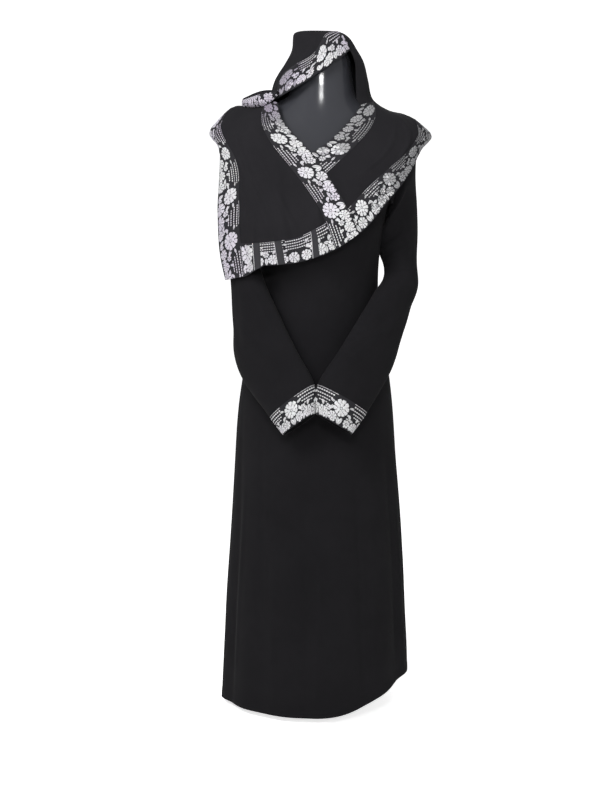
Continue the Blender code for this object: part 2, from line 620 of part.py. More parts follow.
def build_shawl_back(collection, material, band_material):
    """The shawl's back, from one shoulder to the other, with a band on its lower edge."""
    angles = np.linspace(SHOULDER_SEAM_ANGLE, 180 - SHOULDER_SEAM_ANGLE, 25)
    foot = smooth_between(BACK_EDGE_ANGLES, BACK_EDGE_STATIONS, angles)
    top = HOOD_STATION + STRETCH_SEAM / 2
    share = np.linspace(0, 1, 6)[:, None]
    upper = top + (foot - BAND_WIDTH - top) * share
    lower = foot - BAND_WIDTH * np.array([[0.5], [0.0]])
    at = np.vstack([upper, lower])
    angle = np.broadcast_to(angles[None, :], at.shape)
    directions = face_direction(shawl_point, angle, at)
    points = shawl_point(angle, at)
    make_wall(collection, "shawl_back", points, directions, material, thick=SHAWL_CLOTH)
    make_wall(collection, "band_back", points[-3:], directions[-3:], band_material,
              lift=SHAWL_CLOTH + SEAM, thick=BAND_CLOTH)


def build_hood(collection, material, band_material):
    """The hood over the neck, open at the front, with a band on its slanting edge."""
    angles = np.concatenate([np.arange(-180, -57, 9), np.array([-57, -49, -43, -40, -36, -30]),
                             np.arange(-21, 180, 10.05)])
    edge = np.interp(angles, HOOD_EDGE_ANGLES, HOOD_EDGE_STATIONS) - STRETCH_SEAM / 2
    share = np.array([0, 0.20, 0.30, 0.42, 0.60, 0.80, 1.0])[:, None]
    upper = HOOD_CROWN + (edge - HOOD_BAND_WIDTH - HOOD_CROWN) * share
    lower = edge - HOOD_BAND_WIDTH * np.array([[0.5], [0.0]])
    at = np.vstack([upper, lower])
    lean = HOOD_LEAN * bump(angles, HOOD_LEAN_ANGLE, HOOD_LEAN_SPREAD)
    angle = angles[None, :] + lean[None, :] * ease(at, 0.09, 0.2)
    directions = face_direction(shawl_point, angle, at)
    points = shawl_point(angle, at)
    make_wall(collection, "shawl_hood", points, directions, material, thick=SHAWL_CLOTH,
              around=True, capped=True)
    front = (angles >= HOOD_BAND_FIRST_ANGLE) & (angles <= HOOD_BAND_LAST_ANGLE)
    make_wall(collection, "band_hood", points[-3:, front], directions[-3:, front],
              band_material, lift=SHAWL_CLOTH + SEAM, thick=BAND_CLOTH)


def build_turned_fold(collection, material):
    """The small fold where the hood's front corner turns back on the shoulder."""
    table = np.array(TURN_SECTIONS)
    centres, half_height, half_depth = table[:, :3], table[:, 3:4], table[:, 4:5]
    turns = np.arange(12) * np.pi / 6
    along = centres[-1] - centres[0]
    along /= np.linalg.norm(along)
    side = np.cross(along, [0, 0, 1.0])
    side /= np.linalg.norm(side)
    up = np.cross(side, along)
    points = (centres[:, None, :]
              + side * (half_depth * np.cos(turns))[..., None]
              + up * (half_height * np.sin(turns))[..., None])
    directions = grid_direction(points, centres)
    make_wall(collection, "hood_turned_fold", points, directions, material,
              thick=SHAWL_CLOTH, around=True)


def build():
    """Build the dress form, the gown and the shawl."""
    collection = start_scene()
    black_cloth = make_material("black_cloth", (0.012, 0.011, 0.012), 0.85)
    band_cloth = make_material("floral_band", (0.30, 0.28, 0.32), 0.6)
    gloss = make_material("gloss_black", (0.01, 0.01, 0.011), 0.12)
    steel = make_material("painted_steel", (0.03, 0.03, 0.03), 0.4, 0.6)
    build_form(collection, gloss, steel)
    build_gown_body(collection, black_cloth)
    build_sleeve(collection, "left", LEFT_SLEEVE, 1.0, black_cloth, band_cloth)
    build_sleeve(collection, "right", RIGHT_SLEEVE, -1.0, black_cloth, band_cloth)
    build_hood(collection, black_cloth, band_cloth)
    build_turned_fold(collection, band_cloth)
    build_left_front(collection, black_cloth, band_cloth)
    build_right_front(collection, black_cloth, band_cloth)
    build_shawl_back(collection, black_cloth, band_cloth)


build()
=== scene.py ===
"""Visual model of a kaftan with its matching shawl, worn on a limbless dress form.

Metres, +Z up. The gown's front faces -Y and +X is the wearer's left. Angles run round the upright
axis in degrees: 0 is the wearer's left side, -90 the front, 90 the back and 180 the right side.
Stations are lengths down the cloth.
"""
import logging
import math
from dataclasses import astuple, dataclass
from enum import Enum
from typing import Sequence

import bpy
import numpy as np
from mathutils import Matrix, Vector


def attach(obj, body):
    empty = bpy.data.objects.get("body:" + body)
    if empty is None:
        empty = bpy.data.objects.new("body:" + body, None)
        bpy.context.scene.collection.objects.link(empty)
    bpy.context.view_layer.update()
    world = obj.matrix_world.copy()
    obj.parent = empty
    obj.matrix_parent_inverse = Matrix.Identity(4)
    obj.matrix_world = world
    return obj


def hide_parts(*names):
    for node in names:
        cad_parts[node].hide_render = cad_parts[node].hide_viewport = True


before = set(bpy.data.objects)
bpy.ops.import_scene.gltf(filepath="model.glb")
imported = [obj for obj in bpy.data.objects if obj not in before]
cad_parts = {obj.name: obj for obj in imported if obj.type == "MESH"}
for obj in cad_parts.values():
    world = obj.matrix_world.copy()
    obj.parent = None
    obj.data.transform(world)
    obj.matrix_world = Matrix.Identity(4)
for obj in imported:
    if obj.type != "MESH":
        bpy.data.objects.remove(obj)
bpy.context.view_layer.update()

LOG = logging.getLogger("kaftan")

Point = tuple[float, float, float]
Span = tuple[float, float]

# Thickness of each cloth, and the gap between one cloth and the next
GOWN_CLOTH = 0.0015
SHAWL_CLOTH = 0.0012
BAND_CLOTH = 0.0006
OVERLAY = 0.0003

# Stations this near are taken as one
NEAR = 1e-6


# ---------------------------------------------------------------- tables

@dataclass(frozen=True)
class Ring:
    """A ring round the body: station, heights, half width, depths and squareness."""

    at: float
    side_z: float
    front_z: float
    back_z: float
    half_width: float
    front: float
    back: float
    square: float = 2.0


@dataclass(frozen=True)
class SleeveRing:
    """A ring of a sleeve: its outer edge, its inner edge and half its depth."""

    outer: Point
    inner: Point
    half_depth: float


@dataclass(frozen=True)
class SkirtFold:
    """A long soft fold: angle, half width in degrees, depth at its foot."""

    angle: float
    spread: float
    depth: float


@dataclass(frozen=True)
class Crease:
    """A soft ridge, or a trough where its height is negative.

    It runs from `across_start` at `start` to `across_end` at `end`, and fades at both ends.
    """

    across_start: float
    across_end: float
    start: float
    end: float
    spread: float
    height: float


def table(kind: type, rows: Sequence[Sequence[object]]) -> tuple:
    """A table's rows as records of one kind."""
    return tuple(kind(*row) for row in rows)


FORM_RINGS = table(Ring, (
    (0, 1.5653, 1.5653, 1.5653, 0.026, 0.024, 0.024),
    (0.02, 1.554, 1.553, 1.554, 0.044, 0.04, 0.04),
    (0.038, 1.538, 1.534, 1.538, 0.055, 0.049, 0.05),
    (0.07, 1.504, 1.493, 1.503, 0.066, 0.057, 0.059),
    (0.115, 1.46, 1.443, 1.457, 0.074, 0.061, 0.066),
    (0.155, 1.425, 1.393, 1.419, 0.086, 0.066, 0.076),
    (0.195, 1.4063, 1.345, 1.38, 0.121, 0.077, 0.09),
    (0.235, 1.3869, 1.301, 1.338, 0.16, 0.09, 0.099),
    (0.27, 1.354, 1.263, 1.3, 0.182, 0.101, 0.104),
    (0.305, 1.321, 1.234, 1.268, 0.184, 0.109, 0.105),
    (0.365, 1.261, 1.196, 1.212, 0.173, 0.119, 0.102),
    (0.46, 1.166, 1.142, 1.144, 0.148, 0.124, 0.095),
    (0.55, 1.076, 1.07, 1.07, 0.128, 0.105, 0.084),
    (0.63, 0.996, 0.996, 0.996, 0.118, 0.088, 0.079),
    (0.72, 0.906, 0.906, 0.906, 0.135, 0.094, 0.096),
    (0.82, 0.806, 0.806, 0.806, 0.154, 0.102, 0.117),
    (0.9, 0.726, 0.726, 0.726, 0.15, 0.098, 0.113),
))

GOWN_RINGS = table(Ring, (
    (0, 1.419, 1.236, 1.396, 0.1, 0.1165, 0.092), (0.05, 1.396, 1.222, 1.356, 0.145, 0.12, 0.103),
    (0.1, 1.374, 1.205, 1.32, 0.189, 0.125, 0.11, 2.1),
    (0.16, 1.31, 1.185, 1.26, 0.194, 0.129, 0.112, 2.1),
    (0.22, 1.25, 1.165, 1.2, 0.183, 0.131, 0.108, 2.1),
    (0.29, 1.185, 1.125, 1.14, 0.158, 0.131, 0.102, 2.1),
    (0.38, 1.095, 1.06, 1.065, 0.142, 0.127, 0.096, 2.1),
    (0.48, 0.995, 0.985, 0.985, 0.1385, 0.116, 0.093),
    (0.6, 0.875, 0.875, 0.875, 0.156, 0.12, 0.111),
    (0.74, 0.735, 0.735, 0.735, 0.177, 0.132, 0.13),
    (0.9, 0.575, 0.575, 0.575, 0.188, 0.144, 0.14),
    (1.18, 0.295, 0.295, 0.295, 0.205, 0.158, 0.152),
    (1.46, 0.015, 0.015, 0.015, 0.215, 0.167, 0.162),
))

SHAWL_RINGS = table(Ring, (
    (0, 1.5652, 1.5652, 1.5652, 0.002, 0.002, 0.002, 2.9),
    (0.045, 1.565, 1.564, 1.5648, 0.054, 0.045, 0.045, 2.9),
    (0.065, 1.556, 1.55, 1.555, 0.063, 0.057, 0.058, 2.5),
    (0.09, 1.531, 1.523, 1.531, 0.073, 0.064, 0.066),
    (0.12, 1.502, 1.49, 1.502, 0.088, 0.071, 0.074),
    (0.16, 1.464, 1.448, 1.462, 0.104, 0.078, 0.084),
    (0.2, 1.422, 1.398, 1.42, 0.118, 0.086, 0.094),
    (0.24, 1.397, 1.35, 1.377, 0.154, 0.099, 0.107, 2.1),
    (0.28, 1.3825, 1.308, 1.338, 0.194, 0.114, 0.119, 2.2),
    (0.32, 1.358, 1.268, 1.298, 0.23, 0.126, 0.127, 2.3),
    (0.36, 1.324, 1.229, 1.262, 0.227, 0.137, 0.132, 2.5),
    (0.42, 1.264, 1.172, 1.204, 0.225, 0.147, 0.134, 2.6),
    (0.5, 1.184, 1.096, 1.126, 0.236, 0.15, 0.134, 2.6),
    (0.6, 1.084, 0.998, 1.028, 0.232, 0.15, 0.133, 2.6),
    (0.68, 1.004, 0.92, 0.95, 0.23, 0.149, 0.131, 2.6),
))

SKIRT_FOLDS = table(SkirtFold, (
    (-166, 9, 0.01), (-139, 10, 0.005), (-108, 12, 0.0035), (-74, 12, 0.004), (-41, 10, 0.0055),
    (-15, 9, 0.011), (16, 10, 0.008), (47, 11, 0.012), (80, 12, 0.009), (112, 11, 0.013),
    (146, 10, 0.0085),
))

LEFT_SLEEVE = table(SleeveRing, (
    ((0.211, 0, 1.36), (0.158, 0.014, 1.172), 0.069),
    ((0.218, 0, 1.325), (0.15, 0.022, 1.15), 0.064),
    ((0.218, 0, 1.27), (0.144, 0.026, 1.124), 0.058),
    ((0.221, 0, 1.19), (0.14, 0.026, 1.098), 0.055),
    ((0.226, 0, 1.1), (0.144, 0.014, 1.072), 0.05),
    ((0.224, -0.014, 1), (0.157, -0.04, 1.03), 0.04),
    ((0.206, -0.042, 0.945), (0.132, -0.082, 0.99), 0.031),
    ((0.187, -0.08, 0.88), (0.092, -0.128, 0.928), 0.027),
    ((0.165, -0.118, 0.815), (0.05, -0.166, 0.862), 0.024),
    ((0.112, -0.172, 0.729), (0.0052, -0.188, 0.791), 0.022),
    ((0.078, -0.19, 0.683), (0.0042, -0.196, 0.726), 0.019),
))

RIGHT_SLEEVE = table(SleeveRing, (
    ((0.211, 0, 1.36), (0.171, 0, 1.17), 0.069), ((0.214, 0, 1.32), (0.168, -0.003, 1.148), 0.064),
    ((0.212, -0.004, 1.255), (0.164, -0.014, 1.12), 0.058),
    ((0.208, -0.018, 1.17), (0.155, -0.042, 1.09), 0.049),
    ((0.198, -0.048, 1.08), (0.138, -0.086, 1.045), 0.037),
    ((0.19, -0.062, 0.985), (0.118, -0.112, 0.995), 0.031),
    ((0.186, -0.07, 0.905), (0.092, -0.134, 0.948), 0.028),
    ((0.184, -0.082, 0.842), (0.068, -0.152, 0.902), 0.026),
    ((0.16, -0.112, 0.785), (0.04, -0.17, 0.852), 0.024),
    ((0.099, -0.166, 0.713), (0.0052, -0.188, 0.791), 0.022),
    ((0.068, -0.186, 0.678), (0.0042, -0.196, 0.726), 0.019),
))

# Lines of cloth down each shawl front, as pairs of angle and station at shares of the way down
LINE_STEPS = (0.0, 0.25, 0.55, 0.85, 1.0)
RIGHT_FRONT_LINES = (
    ((-180, 0.337), (-160, 0.395), (-150, 0.5), (-148, 0.595), (-143, 0.64)),
    ((-180, 0.287), (-143, 0.352), (-135, 0.445), (-132, 0.54), (-130, 0.611)),
    ((-180, 0.245), (-136, 0.32), (-123, 0.412), (-118, 0.517), (-118, 0.568)),
    ((-180, 0.206), (-130, 0.3), (-112, 0.38), (-101, 0.487), (-99, 0.541)),
    ((-166, 0.206), (-121, 0.292), (-102, 0.351), (-86, 0.45), (-81, 0.513)),
    ((-141, 0.206), (-104, 0.272), (-88, 0.33), (-73, 0.437), (-69, 0.486)),
)
LEFT_FRONT_LINES = (
    ((-45, 0.206), (-68, 0.236), (-85, 0.27), (-100, 0.308), (-104, 0.33)),
    ((-17, 0.206), (-46, 0.251), (-72, 0.295), (-87, 0.34), (-92, 0.362)),
    ((0, 0.206), (-42, 0.29), (-66, 0.335), (-82, 0.38), (-87, 0.402)),
    ((0, 0.285), (-38, 0.343), (-60, 0.378), (-76, 0.43), (-82, 0.45)),
    ((0, 0.337), (-27, 0.385), (-51, 0.433), (-69, 0.486), (-77, 0.492)),
)

PLEATS = table(SkirtFold, (
    (-122, 2.8, 0.006), (-106, 2.8, 0.0065), (-88, 3, 0.006),
))

HOOD_EDGE_ANGLES = (-180, -153, -135, -118, -109, -97, -78, -57, -43, -40, -36, 180)
HOOD_EDGE_STATIONS = (0.205, 0.204, 0.184, 0.167, 0.156, 0.137, 0.114, 0.101, 0.092, 0.096,
                      0.205, 0.205)
# Columns of the hood, closer together at its front corner
HOOD_ANGLES = np.concatenate([np.arange(-180, -57, 2.0), np.arange(-57, -41, 1.0),
                              np.linspace(-40.5, -35.5, 14), np.arange(-34, 180, 2.0)])
BACK_EDGE_ANGLES = (0, 25, 60, 90, 120, 155, 180)
BACK_EDGE_STATIONS = (0.337, 0.400, 0.500, 0.535, 0.505, 0.400, 0.337)

# Creases, given one by one. On the sleeves, stations count rings; the gown's last four are pulls
# across the small of the back and the seat.
GOWN_CREASES = table(Crease, (
    (-172, -175, 0.62, 1.4, 3.2, 0.003), (-158, -152, 0.7, 1.46, 3.6, -0.0032),
    (-148, -149, 0.86, 1.46, 2.6, 0.0026), (-131, -127, 0.78, 1.3, 3.4, -0.0026),
    (-119, -117, 0.95, 1.46, 2.8, 0.0022), (-97, -95, 0.88, 1.46, 3.6, -0.002),
    (-86, -88, 1.02, 1.46, 2.6, 0.0018), (-62, -58, 0.84, 1.46, 3.2, -0.0026),
    (-50, -49, 0.98, 1.38, 2.4, 0.002), (-31, -27, 0.76, 1.46, 3.4, -0.0034),
    (-22, -20, 0.9, 1.46, 2.4, 0.0026), (-8, -6, 0.66, 1.46, 3, -0.0034),
    (5, 4, 0.74, 1.46, 2.6, 0.003), (27, 31, 0.6, 1.46, 3.6, -0.004),
    (38, 38, 0.86, 1.46, 2.6, 0.003), (62, 64, 0.56, 1.46, 4, -0.004),
    (73, 72, 0.9, 1.46, 2.6, 0.0028), (93, 96, 0.58, 1.46, 4.2, -0.0042),
    (103, 102, 0.82, 1.4, 2.8, 0.0026), (128, 130, 0.6, 1.46, 3.8, -0.0042),
    (139, 137, 0.92, 1.46, 2.6, 0.0028), (163, 165, 0.66, 1.46, 3.6, -0.0034),
    (172, 174, 0.8, 1.46, 2.4, 0.0026), (60, 96, 0.34, 0.44, 4, 0.0022),
    (118, 92, 0.38, 0.47, 4, 0.0022), (70, 104, 0.42, 0.5, 3.6, 0.0018),
    (112, 84, 0.46, 0.54, 3.6, 0.0018),
))

LEFT_SLEEVE_CREASES = table(Crease, (
    (20, 150, 4.55, 5.25, 14, 0.0032), (40, 190, 5.05, 5.7, 13, 0.003),
    (30, 170, 5.6, 6.3, 12, 0.0028), (330, 210, 4.7, 5.45, 14, 0.003),
    (335, 220, 5.4, 6.1, 13, 0.0028), (60, 100, 1.1, 4.4, 12, 0.0026),
    (300, 262, 1.2, 4.6, 13, 0.0026), (110, 70, 6.4, 8.6, 12, 0.0022),
    (60, 130, 7.2, 9.3, 12, 0.0022), (25, 50, 6.8, 9, 10, 0.002), (315, 285, 6.5, 9, 14, 0.002),
    (140, 112, 2.2, 4.2, 10, 0.002),
))

RIGHT_SLEEVE_CREASES = table(Crease, (
    (25, 140, 3.6, 4.4, 14, 0.003), (35, 175, 4.2, 4.95, 13, 0.003),
    (20, 160, 4.9, 5.6, 12, 0.0026), (325, 215, 3.8, 4.6, 14, 0.003),
    (330, 225, 4.6, 5.4, 13, 0.0028), (70, 96, 1.1, 3.6, 12, 0.0026),
    (298, 270, 1.2, 4, 13, 0.0026), (100, 64, 5.6, 8.4, 12, 0.0022),
    (55, 120, 6.6, 9.2, 12, 0.0022), (30, 56, 6, 8.8, 10, 0.002), (312, 282, 6, 9, 14, 0.002),
    (128, 140, 5.9, 8, 10, 0.0018),
))

# The wearer's right front, the left front, then the shoulders and the back
SHAWL_CREASES = table(Crease, (
    (-168, -140, 0.24, 0.56, 2.6, 0.003), (-160, -128, 0.25, 0.52, 2.2, -0.0018),
    (-152, -112, 0.25, 0.47, 2.4, 0.0026), (-142, -122, 0.34, 0.6, 2, 0.0022),
    (-134, -108, 0.33, 0.55, 2.2, -0.0016), (-128, -99, 0.3, 0.49, 2, 0.002),
    (-14, -52, 0.25, 0.38, 2.8, 0.0026), (-8, -40, 0.27, 0.4, 2.6, -0.0016),
    (-4, -24, 0.28, 0.37, 2.4, 0.0022), (-30, -70, 0.27, 0.36, 2.6, 0.0018),
    (14, 40, 0.23, 0.44, 3, 0.0028), (28, 58, 0.23, 0.5, 3.2, 0.003),
    (48, 74, 0.22, 0.53, 3.4, -0.0022), (66, 86, 0.21, 0.5, 3.2, 0.003),
    (92, 94, 0.21, 0.53, 4, 0.0034), (116, 104, 0.21, 0.5, 3.2, 0.0028),
    (134, 116, 0.22, 0.51, 3.4, -0.0022), (152, 128, 0.23, 0.47, 3.2, 0.003),
    (166, 144, 0.23, 0.42, 3, 0.0026),
))

HOOD_CREASES = table(Crease, (
    (-60, -158, 0.03, 0.2, 7, 0.0022), (-96, -168, 0.05, 0.205, 6, 0.0026),
    (-150, -176, 0.07, 0.205, 6, 0.0024), (170, 178, 0.06, 0.205, 6, -0.0016),
    (150, 160, 0.045, 0.205, 6.5, 0.003), (122, 138, 0.055, 0.205, 6.5, -0.002),
    (104, 112, 0.04, 0.2, 7, 0.0034), (80, 86, 0.06, 0.205, 6.5, -0.0022),
    (58, 62, 0.045, 0.205, 7, 0.0032), (34, 38, 0.06, 0.205, 6, -0.002),
    (14, 16, 0.05, 0.205, 6, 0.003), (-6, -4, 0.06, 0.205, 5, -0.0018),
    (-24, -26, 0.055, 0.205, 4, 0.0028),
))

# Where a crease rises and falls, in shares of its length from its start and from its end
CREASE_RISE = (-0.05, 0.35)
CREASE_FALL = (-0.30, 0.10)


# ---------------------------------------------------------------- shared shaping

def smooth_between(keys: Sequence[float], values: np.ndarray, at: np.ndarray) -> np.ndarray:
    """Values on a smooth curve through one value for each key.

    Args:
        keys: Rising stations.
        values: One value, or array of values, for each key.
        at: Stations to read the curve at.

    Returns:
        The values at those stations.
    """
    keys, values, at = (np.asarray(item, float) for item in (keys, values, at))
    slopes = np.gradient(values, keys, axis=0)
    low = np.clip(np.searchsorted(keys, at) - 1, 0, len(keys) - 2)
    shape = at.shape + (1,) * (values.ndim - 1)
    span = (keys[low + 1] - keys[low]).reshape(shape)
    t = (at - keys[low]).reshape(shape) / span
    return ((2 * t**3 - 3 * t**2 + 1) * values[low]
            + (t**3 - 2 * t**2 + t) * span * slopes[low]
            + (3 * t**2 - 2 * t**3) * values[low + 1]
            + (t**3 - t**2) * span * slopes[low + 1])


def bump(value: np.ndarray, centre: float | np.ndarray, spread: float) -> np.ndarray:
    """A soft hump of height 1."""
    return np.exp(-((value - centre) / spread) ** 2)


def ease(value: np.ndarray, low: float, high: float) -> np.ndarray:
    """Rises smoothly from 0 at `low` to 1 at `high`."""
    t = np.clip((value - low) / (high - low), 0, 1)
    return t * t * (3 - 2 * t)


def turn_between(angle: np.ndarray) -> np.ndarray:
    """The same angle, from -180 up to 180 degrees."""
    return (np.asarray(angle, float) + 180) % 360 - 180


def unit(vectors: np.ndarray) -> np.ndarray:
    """Vectors of length 1."""
    return vectors / np.maximum(np.linalg.norm(vectors, axis=-1, keepdims=True), 1e-12)


def outward(point: np.ndarray) -> np.ndarray:
    """The level direction away from the upright axis."""
    return unit(point * np.array([1.0, 1.0, 0.0]))


def circle(count: int) -> np.ndarray:
    """Pairs of points round a circle of radius 1."""
    turns = np.linspace(0, 2 * np.pi, count, endpoint=False)
    return np.column_stack([np.cos(turns), np.sin(turns)])


def turned(x: np.ndarray, y: np.ndarray, angle: float) -> np.ndarray:
    """Points with these places, turned by an angle in radians."""
    cosine, sine = math.cos(angle), math.sin(angle)
    return np.column_stack([x * cosine - y * sine, x * sine + y * cosine])


def lengths_along(points: np.ndarray) -> np.ndarray:
    """Lengths from the first of a row of points to each of them."""
    return np.pad(np.cumsum(np.linalg.norm(np.diff(points, axis=0), axis=1)), (1, 0))


def crease_lift(across: np.ndarray, along: np.ndarray, creases: Sequence[Crease]) -> np.ndarray:
    """How far a set of creases lifts the cloth.

    Args:
        across: Angle of each point.
        along: Station of each point.
        creases: The creases.

    Returns:
        The lift of each point.
    """
    lift = np.zeros(np.broadcast(across, along).shape)
    for crease in creases:
        length = crease.end - crease.start
        share = np.clip((along - crease.start) / length, 0, 1)
        centre = crease.across_start + (crease.across_end - crease.across_start) * share
        rise = (crease.start + part * length for part in CREASE_RISE)
        fall = (crease.end + part * length for part in CREASE_FALL)
        fade = ease(along, *rise) * (1 - ease(along, *fall))
        lift = lift + crease.height * fade * bump(turn_between(across - centre), 0, crease.spread)
    return lift


def grid_normals(points: np.ndarray, closed: bool = False) -> np.ndarray:
    """Unit directions out of a grid of points.

    Args:
        points: The points, in rows that run down and columns that run round.
        closed: Whether the last column meets the first.

    Returns:
        A direction for each point.
    """
    around = (np.roll(points, -1, axis=1) - np.roll(points, 1, axis=1) if closed
              else np.gradient(points, axis=1))
    return unit(np.cross(np.gradient(points, axis=0), around))


def facing(normals: np.ndarray, away: np.ndarray) -> np.ndarray:
    """The normals, all turned over where as a whole they point against `away`."""
    return -normals if np.sum(normals * away) < 0 else normals


# ---------------------------------------------------------------- surfaces

@dataclass(frozen=True)
class RingSurface:
    """A smooth surface through rings round the body."""

    rings: tuple[Ring, ...]

    def point(self, angle: np.ndarray, at: np.ndarray) -> np.ndarray:
        """Points of the surface.

        Args:
            angle: Their angles.
            at: Their stations.

        Returns:
            One point for each pair of angle and station.
        """
        angle, at = np.broadcast_arrays(np.asarray(angle, float), np.asarray(at, float))
        rows = np.array([astuple(ring) for ring in self.rings])
        values = smooth_between(rows[:, 0], rows[:, 1:], at)
        side_z, front_z, back_z, half_width, front, back, square = np.moveaxis(values, -1, 0)
        cosine, sine = np.cos(np.radians(angle)), np.sin(np.radians(angle))
        reach = (np.abs(cosine)**square + np.abs(sine)**square) ** (-1 / square)
        depth = np.where(sine > 0, back, front)
        rise = np.where(sine > 0, back_z, front_z) - side_z
        return np.stack([half_width * reach * cosine, depth * reach * sine,
                         side_z + rise * sine**2], axis=-1)

    def direction(self, angle: np.ndarray, at: np.ndarray) -> np.ndarray:
        """Unit directions straight out of the surface.

        Args:
            angle: Angles of its points.
            at: Their stations.

        Returns:
            One direction for each pair of angle and station.
        """
        turn, step = 0.05, 0.0005
        around = self.point(angle + turn, at) - self.point(angle - turn, at)
        down = self.point(angle, at + step) - self.point(angle, at - step)
        return unit(np.cross(down, around))


@dataclass(frozen=True)
class GownSurface(RingSurface):
    """The gown's inner face, with the long folds of its skirt and its creases."""

    rings: tuple[Ring, ...] = GOWN_RINGS
    hem_station: float = 1.460
    hem_rise: float = 0.080
    hem_rise_start: float = 1.200
    skirt_shift: float = 0.008
    shift_top_z: float = 0.75
    shift_full_z: float = 0.35
    fold_start_z: float = 0.86
    least_crease: float = 0.35
    crease_growth: Span = (0.5, 1.3)

    def point(self, angle: np.ndarray, at: np.ndarray) -> np.ndarray:
        """Points of the gown.

        Args:
            angle: Their angles.
            at: Their stations.

        Returns:
            One point for each pair of angle and station.
        """
        point, wrapped = super().point(angle, at), turn_between(angle)
        fold = sum(row.depth * sum(bump(wrapped, row.angle + turn, row.spread)
                                   for turn in (0, 360, -360)) for row in SKIRT_FOLDS)
        fold = fold * ease(-point[..., 2], -self.fold_start_z, 0.0)
        fold = fold + crease_lift(wrapped, np.asarray(at, float), GOWN_CREASES) * (
            self.least_crease + (1 - self.least_crease) * ease(at, *self.crease_growth))
        point = point + outward(point) * fold[..., None]
        left_side = np.clip(np.cos(np.radians(wrapped)), 0, 1) ** 2
        point[..., 0] += self.skirt_shift * ease(-point[..., 2], -self.shift_top_z,
                                                 -self.shift_full_z)
        point[..., 2] += self.hem_rise * left_side * ease(at, self.hem_rise_start,
                                                          self.hem_station)
        return point


@dataclass(frozen=True)
class ShawlSurface(RingSurface):
    """The shawl's inner face, which stands out in a wing at each shoulder.

    Its wings, its shoulders' rise and the shifts of its hood are each an amount, or one for the
    right and one for the left, with the station and the length that it is spread over.
    """

    rings: tuple[Ring, ...] = SHAWL_RINGS
    side_spread: float = 20.0
    wing: Point = (0.022, 0.345, 0.022)
    rise_right: float = 0.0205
    rise_left: float = 0.006
    rise_at: Span = (0.285, 0.036)
    hood_shift: Point = (0.009, 0.105, 0.045)
    crown_shift: Point = (-0.008, 0.045, 0.035)

    def point(self, angle: np.ndarray, at: np.ndarray) -> np.ndarray:
        """Points of the shawl.

        Args:
            angle: Their angles.
            at: Their stations.

        Returns:
            One point for each pair of angle and station.
        """
        point, wrapped = super().point(angle, at), turn_between(angle)
        left = bump(wrapped, 0, self.side_spread)
        right = bump(wrapped, 180, self.side_spread) + bump(wrapped, -180, self.side_spread)
        wing = self.wing[0] * (left + right) * bump(at, *self.wing[1:])
        point = point + outward(point) * wing[..., None]
        for amount, *spread in (self.hood_shift, self.crown_shift):
            point[..., 0] += amount * bump(at, *spread)
        rise = self.rise_right * right + self.rise_left * left
        point[..., 2] += rise * bump(at, *self.rise_at)
        return point


# ---------------------------------------------------------------- meshes

def add_object(name: str, data: bpy.types.ID) -> bpy.types.Object:
    """Add a new object to the scene.

    Args:
        name: Its name.
        data: Its mesh, camera or light.

    Returns:
        The object.
    """
    item = bpy.data.objects.new(name, data)
    bpy.context.scene.collection.objects.link(item)
    return item


def grid_faces(rows: int, columns: int, closed: bool = False) -> np.ndarray:
    """Faces of a grid of points.

    Args:
        rows: How many rows it has.
        columns: How many points each row has.
        closed: Whether the last column meets the first.

    Returns:
        The four corners of each face, in turn as seen from outside.
    """
    i, j = np.meshgrid(np.arange(rows - 1), np.arange(columns if closed else columns - 1),
                       indexing="ij")
    k = (j + 1) % columns
    corners = (i * columns + j, (i + 1) * columns + j, (i + 1) * columns + k, i * columns + k)
    return np.stack(corners, axis=-1).reshape(-1, 4)


def flat_faces(rows: int, columns: int, closed: bool = False) -> np.ndarray:
    """The same for a grid that lies on a band, and is seen from above."""
    return grid_faces(rows, columns, closed)[:, [0, 3, 2, 1]]


def disc_faces(rings: int, count: int) -> list[Sequence[int]]:
    """Faces of rings of points round a last point in the middle.

    Args:
        rings: How many rings there are, from the rim in.
        count: How many points each ring has.

    Returns:
        The corners of each face.
    """
    last = (rings - 1) * count
    fan = [(last + i, last + (i + 1) % count, last + count) for i in range(count)]
    return flat_faces(rings, count, closed=True).tolist() + fan


class MeshMaker:
    """Collects points and faces, and makes a joined mesh of them."""

    crisp_angle = math.radians(52.0)

    def __init__(self, name: str) -> None:
        """Start an empty mesh.

        Args:
            name: The piece's name.
        """
        self.name = name
        self.points: list[np.ndarray] = []
        self.faces: list[tuple[int, ...]] = []
        self.inks: list[int] = []
        self.count = 0

    def add(self, points: np.ndarray, faces: Sequence[Sequence[int]], ink: int = 0) -> None:
        """Add some points and their faces.

        Args:
            points: The points.
            faces: The corners of each face, counted from the first of these points.
            ink: The number of the faces' finish.
        """
        self.points.append(points)
        self.faces.extend(tuple(self.count + i for i in face) for face in faces)
        self.inks.extend([ink] * len(faces))
        self.count += len(points)

    def make(self, materials: Sequence[bpy.types.Material],
             uv: np.ndarray | None = None) -> bpy.types.Object:
        """Make the object.

        Args:
            materials: Its finishes.
            uv: A pair of lengths for each point.

        Returns:
            The new object.
        """
        mesh = bpy.data.meshes.new(self.name)
        mesh.from_pydata(np.concatenate(self.points).tolist(), [], self.faces)
        if uv is not None:
            layer = mesh.uv_layers.new(name="cloth")
            corners = np.empty(len(mesh.loops), dtype=np.int32)
            mesh.loops.foreach_get("vertex_index", corners)
            layer.data.foreach_set("uv", uv[corners].astype(np.float32).ravel())
        for material in materials:
            mesh.materials.append(material)
        mesh.polygons.foreach_set("material_index", self.inks)
        mesh.validate()
        mesh.shade_smooth()
        mesh.set_sharp_from_angle(angle=self.crisp_angle)
        return add_object(self.name, mesh)


